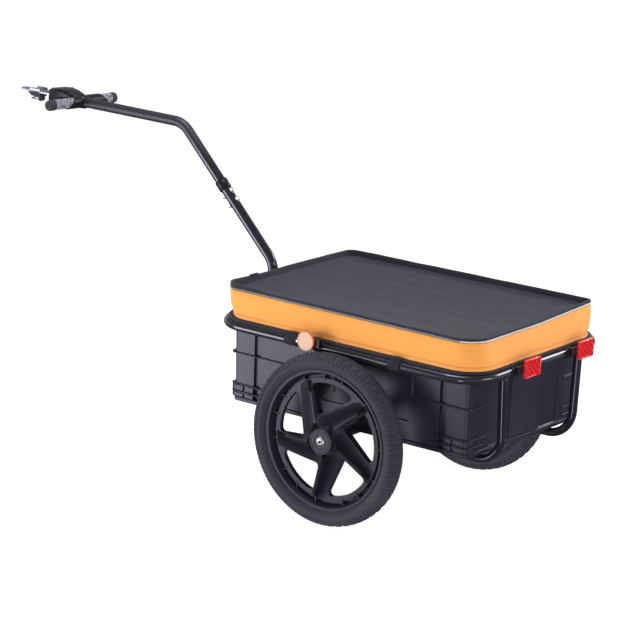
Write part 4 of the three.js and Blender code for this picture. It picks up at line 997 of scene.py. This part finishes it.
def slack_top():
    """The top: a slightly large sheet held by its edge, that hangs and wrinkles."""
    inset = 8.2
    half_x, half_y = HEAD_FRONT - inset, HEAD_SIDE - inset

    def level(vert):
        return (vert.co.x - AXLE_X) / MM, vert.co.y / MM

    def room(x, y, margin):
        return within(min((half_x - abs(x)) / margin, (half_y - abs(y)) / margin))

    top = Shape()
    bm = top.bm
    bmesh.ops.create_grid(bm, x_segments=84, y_segments=60, size=1)
    bmesh.ops.scale(bm, vec=(half_x, half_y, 1), verts=bm.verts)
    for vert in bm.verts:
        quarter = (2, 3, 1, 0)[(vert.co.x > 0) + 2 * (vert.co.y > 0)]
        corner = max(6, HEAD[3][quarter] - inset)
        dx, dy = abs(vert.co.x) - half_x + corner, abs(vert.co.y) - half_y + corner
        if dx > 0 and dy > 0:
            pull = max(dx, dy) / math.hypot(dx, dy)
            vert.co.x = math.copysign(half_x - corner + dx * pull, vert.co.x)
            vert.co.y = math.copysign(half_y - corner + dy * pull, vert.co.y)
    edge = [v.index for v in bm.verts if v.is_boundary]
    bmesh.ops.translate(bm, vec=(0, 0, 475.2), verts=bm.verts)
    for vert in bm.verts:
        vert.co.z += rough(vert.co.x / 90, vert.co.y / 90, 5.5) * 0.6
    piece = top.settled("slack_black_top", "cover", "black_fabric", "cover_top_panel", sharp=180)
    points = piece.data.vertices
    rest = [v.co.copy() for v in points]
    places = hung(piece, edge)
    lowest = min(p.z - r.z for p, r in zip(places, rest))
    ease = min(1, 0.017 / max(1e-6, -lowest))
    for vert, place, start in zip(points, places, rest):
        vert.co = start + (place - start) * ease
    pulls = ((330, 200, 190), (-330, 210, 170), (-330, -230, 130))
    for vert in points:
        x, y = level(vert)
        fold = rough((x + 0.9 * y) / 130, (x - 0.9 * y) / 15, 7.7) ** 3 * 9
        strain = sum(max(0, 1 - math.hypot(x - a, y - b) / reach) for a, b, reach in pulls)
        ripple = rough(x / 170, y / 24, 1.2) * 1.1 + rough(x / 60, y / 50, 4.4) * 0.7
        wrinkle = ripple + strain * (fold + rough(x / 34, y / 34, 8.1) * 1.6)
        vert.co.z += room(x, y, 26) * wrinkle * MM
        moved = pulled(Vector((x, y, vert.co.z / MM)), 1)
        vert.co = Vector((moved.x * MM + AXLE_X, moved.y * MM, moved.z * MM))
    soft_folds(piece)
    cloth_thickness(piece)


def cover_loop():
    """The webbing pull loop on the front edge, folded over the piping."""
    over = [
        (348.2, 462), (348.4, 470), (348.2, 480), (347.6, 487), (346.2, 490.2), (343.6, 491),
        (340.6, 490.4), (338, 488.6),
    ]
    under = [(346.4, 461.6), (346.7, 470), (346.5, 478)]
    loop = Shape()
    for path, section in ((over, flat_section(1.5, 26, 0.7)), (under, flat_section(1.3, 26, 0.6))):
        loop.sweep([(x, 140, z) for x, z in path], section, up=LEFT)
    loop.settled("pull_loop", "cover", "webbing", "cover_pull_loop", sharp=50)


def ring_straps():
    for name, side in SIDES.items():
        def wrapped(x, radius, angles):
            return [(x, side * y, z) for y, z in arc(radius, angles, (RING_SIDE, RING_Z))]

        for end, x in (("front", 133), ("rear", -154)):
            tail = [(x, side * y, z) for y, z in ((263.6, 418), (264.6, 412), (267.2, 408.4))]
            strap = Shape().sweep(
                tail + wrapped(x, 11.2, range(62, -298, -12)), flat_section(1.4, 30, 0.6), up=AHEAD,
            )
            strap.sweep(wrapped(x, 12.7, range(40, -16, -8)), flat_section(1.2, 32, 0.5), up=AHEAD)
            strap.settled(
                f"{name}_{end}_webbing_strap", "frame", "webbing", f"strap_{name}_{end}", sharp=50,
            )


# Reflectors

def side_reflectors():
    for name, side in SIDES.items():
        node = f"side_reflector_{name}"
        outward = LEFT * side
        face = [
            (0, 0), (21.6, 0), (22.5, 0.8), (22.5, 6), (21.7, 7), (20.2, 7), (19.6, 6.3), (0, 6.3),
        ]
        disc = Shape().turned(face, place=along((77, side * 285, 412), outward))
        disc.settled(f"{name}_round_lens", "frame", "amber_lens", f"{node}_lens", sharp=25)
        cuff = mirrored([(10.3, -12), (11.8, -12), (12.2, -11.4)])
        holder = Shape().turned(cuff, 40, along((54.5, side * RING_SIDE, RING_Z), AHEAD))
        holder.block((43, side * 274, 400.4), (88, side * 284.6, 418.6))
        holder.block((78, side * 274, 400.6), (109.6, side * 284.6, 411.6))
        holder.settled(f"{name}_lens_bracket", *FITTED, f"{node}_bracket", sharp=30, bevel=0.8)
        head = along((104, side * 284.8, 406), outward)
        screw = Shape().turned([(0, 0), (3, 0), (3, 1), (2.2, 2), (0, 2.4)], 24, head)
        screw.block((101.8, side * 286.6, 405.7), (106.2, side * 287.3, 406.3))
        screw.settled(f"{name}_bracket_screw", *STEEL, f"{node}_screw", sharp=30)


def rear_reflectors():
    for name, y in (("left", 75), ("right", -142)):
        node = f"rear_reflector_{name}"
        out = along((-387.2, y, 404), -AHEAD)
        tray = (
            (59, 42, 4, 0), (59, 42, 4, 6.4), (57.6, 40.6, 3.6, 7.6), (53, 36, 2.4, 7.6),
            (52, 35, 2.2, 6.6),
        )
        face = Shape().loft([
            [out @ Vector((a, b, height)) for a, b in flat_section(width, tall, corner, 5)]
            for width, tall, corner, height in tray
        ])
        face.settled(f"{name}_red_lens", "frame", "red_lens", f"{node}_lens", sharp=25)
        cuff = mirrored([(10.3, -11), (11.7, -11), (12.2, -10.4)])
        clamp = Shape().turned(cuff, 40, along((RING_REAR, y + 40.5, RING_Z), LEFT))
        clamp.block((-386.6, y - 14, 395.4), (-376.6, y + 51, 412.6))
        head = along((RING_REAR - 6, y + 40.5, RING_Z + 10), UP, AHEAD)
        clamp.turned([(0, 0), (3.4, 0), (3.4, 2), (2.6, 3), (0, 3)], 16, head)
        clamp.settled(f"{name}_lens_clamp", *FITTED, f"{node}_clamp", sharp=30, bevel=0.8)


# Drawbar

SLOPE = math.radians(45.5)
LEG = Vector((math.cos(SLOPE), 0, math.sin(SLOPE)))
LEG_FOOT = Vector((394, 0, 482.6))
SLEEVE_END, BAR = 237, 12.25
HANDLE = Vector((994.88, 0, 772.5))


def leg(distance):
    return LEG_FOOT + LEG * distance


def drawbar():
    lower = [(394, 0, 228), LEG_FOOT, leg(SLEEVE_END)]
    upper = [leg(SLEEVE_END + 0.3), (678.88, 0, HANDLE.z), HANDLE - AHEAD * 12]
    for name, corners in (("lower", lower), ("upper", upper)):
        tube = Shape().sweep(rounded(corners, 60, 16), circle(BAR, 32), up=LEFT)
        tube.settled(f"{name}_drawbar_tube", *PAINTED, f"{name}_drawbar")
    collar = Shape().turned([
        (12.5, -13), (13.6, -13), (14.4, -12), (15.1, -10.6), (15.1, 8), (14.6, 9), (15.1, 10),
        (15.1, 11.6), (14, 13), (12.5, 13),
    ], 48, along(leg(SLEEVE_END - 13), LEG, LEFT))
    collar.settled("plastic_collar", *FITTED, "drawbar_collar", sharp=30)
    across = Vector((-LEG.z, 0, LEG.x))
    hexagon = circle(6, 6)
    for name, distance in (("lower", 175.5), ("upper", 201)):
        out = along(leg(distance) + across * 12.4, across, LEFT)
        bolt = Shape().turned([(0, 0), (7, 0), (7, 0.8), (0, 0.8)], 28, out)
        bolt.slab([hexagon], 0.8, 4.4, out)
        bolt.turned([(0, 0), (3, 0), (3, -34.4), (2.4, -35), (0, -35)], 20, out)
        node = f"drawbar_{name}"
        bolt.settled(f"{name}_hex_bolt", *STEEL, f"{node}_bolt", sharp=30, bevel=0.3)
        out = along(leg(distance) - across * 12.6, -across, LEFT)
        nut = Shape().slab([hexagon, circle(3.1, 20)], 0, 5, out)
        nut.settled(f"{name}_hex_nut", *STEEL, f"{node}_nut", sharp=30, bevel=0.4)
    plate = outline([(RING_FRONT, -17), (412, -17), (412, 17), (RING_FRONT, 17)], 5)
    for name, height, top in (("rail", RING_Z, 8), ("brace", BRACE_Z, 16)):
        clamp = Shape().slab([plate], height - 16, height + top)
        for y in (-12, 12):
            head = along((403, y, height + top), UP, AHEAD)
            clamp.turned([(0, 0), (3.6, 0), (3.6, 1.6), (2.8, 2.2), (0, 2.2)], 18, head)
        node = f"drawbar_{name}_clamp"
        clamp.settled(f"{name}_clamp_block", *PAINTED, node, sharp=30, bevel=1.2)


# Handle, about the middle of its crossbar

def handle():
    place = Matrix.Translation(HANDLE)
    bar = place @ Matrix.Rotation(math.radians(3.1), 4, "X")
    stations = [
        (-16, 14.3, 14.3, 14.3, 14), (-15, 15.2, 15.2, 15.2, 14.6), (-4, 17, 15.6, 16.6, 13),
        (9, 20, 16, 19, 10), (26, 24, 17, 22.6, 9), (44, 25, 17.5, 24.8, 8),
        (60, 23.4, 17.4, 24.8, 8), (72, 20.4, 17, 23.4, 7.4), (82, 17, 16.8, 21.6, 7),
        (90, 14.4, 16.5, 19.4, 7), (95, 12.4, 15.2, 17.2, 6),
    ]
    rings = []
    for x, half, low, high, corner in stations:
        section = flat_section(2 * half, low + high, corner, 5)
        rings.append([Vector((x, a, b + (high - low) / 2)) for a, b in section])
    head = Shape().loft(rings)
    for side in SIDES.values():
        wing = [(0, 15 * side), (55, 20 * side), (55, 24 * side), (12, 52 * side), (0, 52 * side)]
        head.slab([outline(wing, 2), circle(5, 20, (21, 33 * side))], -7, 7)
        head.slab([circle(3.4, 16, (46, side * 18))], 20, 25.2)
    head.settled("moulded_head", *FITTED, "handle_head", place, 32, bevel=0.9)
    for name, side in SIDES.items():
        cradle = Shape().turned(
            [(12.9, 0), (15.2, 0), (14.4, 96), (12.9, 96)], 48, along((0, 0, 0), LEFT * side),
        )
        bm = cradle.bm
        cut = bmesh.ops.bisect_plane(
            bm, geom=bm.verts[:] + bm.edges[:] + bm.faces[:], clear_outer=True,
            plane_co=(0, 44 if side > 0 else -75, 0), plane_no=Vector((0.3, side, 0.95)),
        )
        bmesh.ops.contextual_create(bm, geom=kept(cut["geom_cut"], bmesh.types.BMEdge))
        cradle.settled(f"{name}_grip_cradle", *FITTED, None, bar, 30, bevel=0.5)
    rod = Shape().turned([(0, -119), (8, -119), (8, 119), (0, 119)], 28, along((0, 0, 0), LEFT))
    rod.settled("crossbar_tube", *PAINTED, "handle_crossbar", bar)
    ridged = [(8.4, 21), (12.2, 21), (12.7, 21.8), (12.7, 25)]
    for i in range(16):
        start = 26 + 4.6 * i
        ridged += [(11.7, start), (12.5, start + 1), (12.5, start + 3.2), (11.7, start + 4)]
    ridged += [(12.7, 101), (12.7, 103.4), (12.3, 104), (8.4, 104)]
    cap = [
        (8.4, 104.3), (12.7, 104.3), (13.1, 105), (13.1, 109), (12.7, 109.6), (13.1, 110.2),
        (13.1, 118.8), (12.4, 121.4), (11, 122.7), (9, 123.2), (5, 123.2), (4.4, 122.7),
        (0, 122.7), (0, 119.6), (8.4, 119.6),
    ]
    for name, side in SIDES.items():
        outward = along((0, 0, 0), LEFT * side)
        grip = Shape().turned(ridged, 48, outward)
        grip.settled(f"{name}_hand_grip", "frame", "grip_rubber", f"grip_{name}", bar, 30)
        end = Shape().turned(cap, 48, outward, closed=False)
        end.settled(f"{name}_grip_end", "frame", "cap_rubber", f"grip_cap_{name}", bar, 30)


# Hitch, about its swivel pin at the underside of the plate

def hitch():
    place = Matrix.Translation((1082.88, 0, 776))
    upright = Matrix.Rotation(math.pi / 2, 4, "X")

    def half_round(radius, start, x):
        return arc(radius, (start + 7.5 * i for i in range(25)), (x, 0))

    tongue = half_round(13, 90, 0) + [(22, -15), (66, -15)] + half_round(11, -90, 90)
    holes = circle(4.4), circle(5, 24, (90, 0))
    plate = Shape().slab([tongue + [(66, 15), (22, 15)], *holes], 0, 3.9)
    flange = outline([(33, 0), (66, 0), (66, 9.5), (33, 9.5)], 2.4)
    for side in SIDES.values():
        plate.slab([flange], -1, 1, Matrix.Translation((0, side * 14, 0)) @ upright)
    eyelet = [(5, 3.6), (8.4, 3.6), (8.4, 4.5), (5.6, 4.5)]
    plate.turned(eyelet, 32, Matrix.Translation((90, 0, 0)))
    plate.settled("zinc_hitch_plate", "hitch", "zinc_steel", "hitch_plate", place, 30, bevel=0.5)
    teeth = []
    for i in range(6):
        x = 61 - 4.4 * i
        teeth += [(x, -11), (x - 0.7, -8.6), (x - 2.4, -8.6), (x - 3.1, -11)]
    jaw = Shape().slab([[(34, -0.3), (72, -0.3), (72, -3), *teeth, (34, -11)]], -13, 13, upright)
    foot = [(34, -8), (44, -8), (44, -19), (41, -22), (37, -22), (34, -19)]
    jaw.slab([foot], -7, 7, upright)
    jaw.settled("toothed_jaw_block", "hitch", "cap_rubber", "hitch_jaw_block", place, 30, bevel=0.6)
    corners = [(39, -3), (39, -11.5), (64, -11.5), (64, 11.5), (39, 11.5), (39, 3)]
    bail = Shape().sweep(rounded([(*at, -17) for at in corners], 5, 6), circle(1.7, 14))
    bail.settled("spring_wire_bail", "bail", "zinc_steel", "hitch_bail", place)
    pin = Shape().turned([
        (0, -20), (3.4, -20), (4, -19.4), (4, 14.2), (7, 14.4), (7, 15.8), (6, 16.6), (0, 16.8),
    ], 36)
    pin.settled("swivel_pin", *STEEL, "hitch_swivel_pin", place, 30)


camera()
studio()
frame_tubes()
for wheel_name, wheel_side in SIDES.items():
    for part_of_wheel in (tyre, rim, wheel_fittings):
        part_of_wheel(wheel_name, f"wheel_{wheel_name}", wheel_place(wheel_side))
tub()
cover_sides()
cover_hem()
cover_edge()
slack_top()
cover_loop()
ring_straps()
side_reflectors()
rear_reflectors()
drawbar()
handle()
hitch()
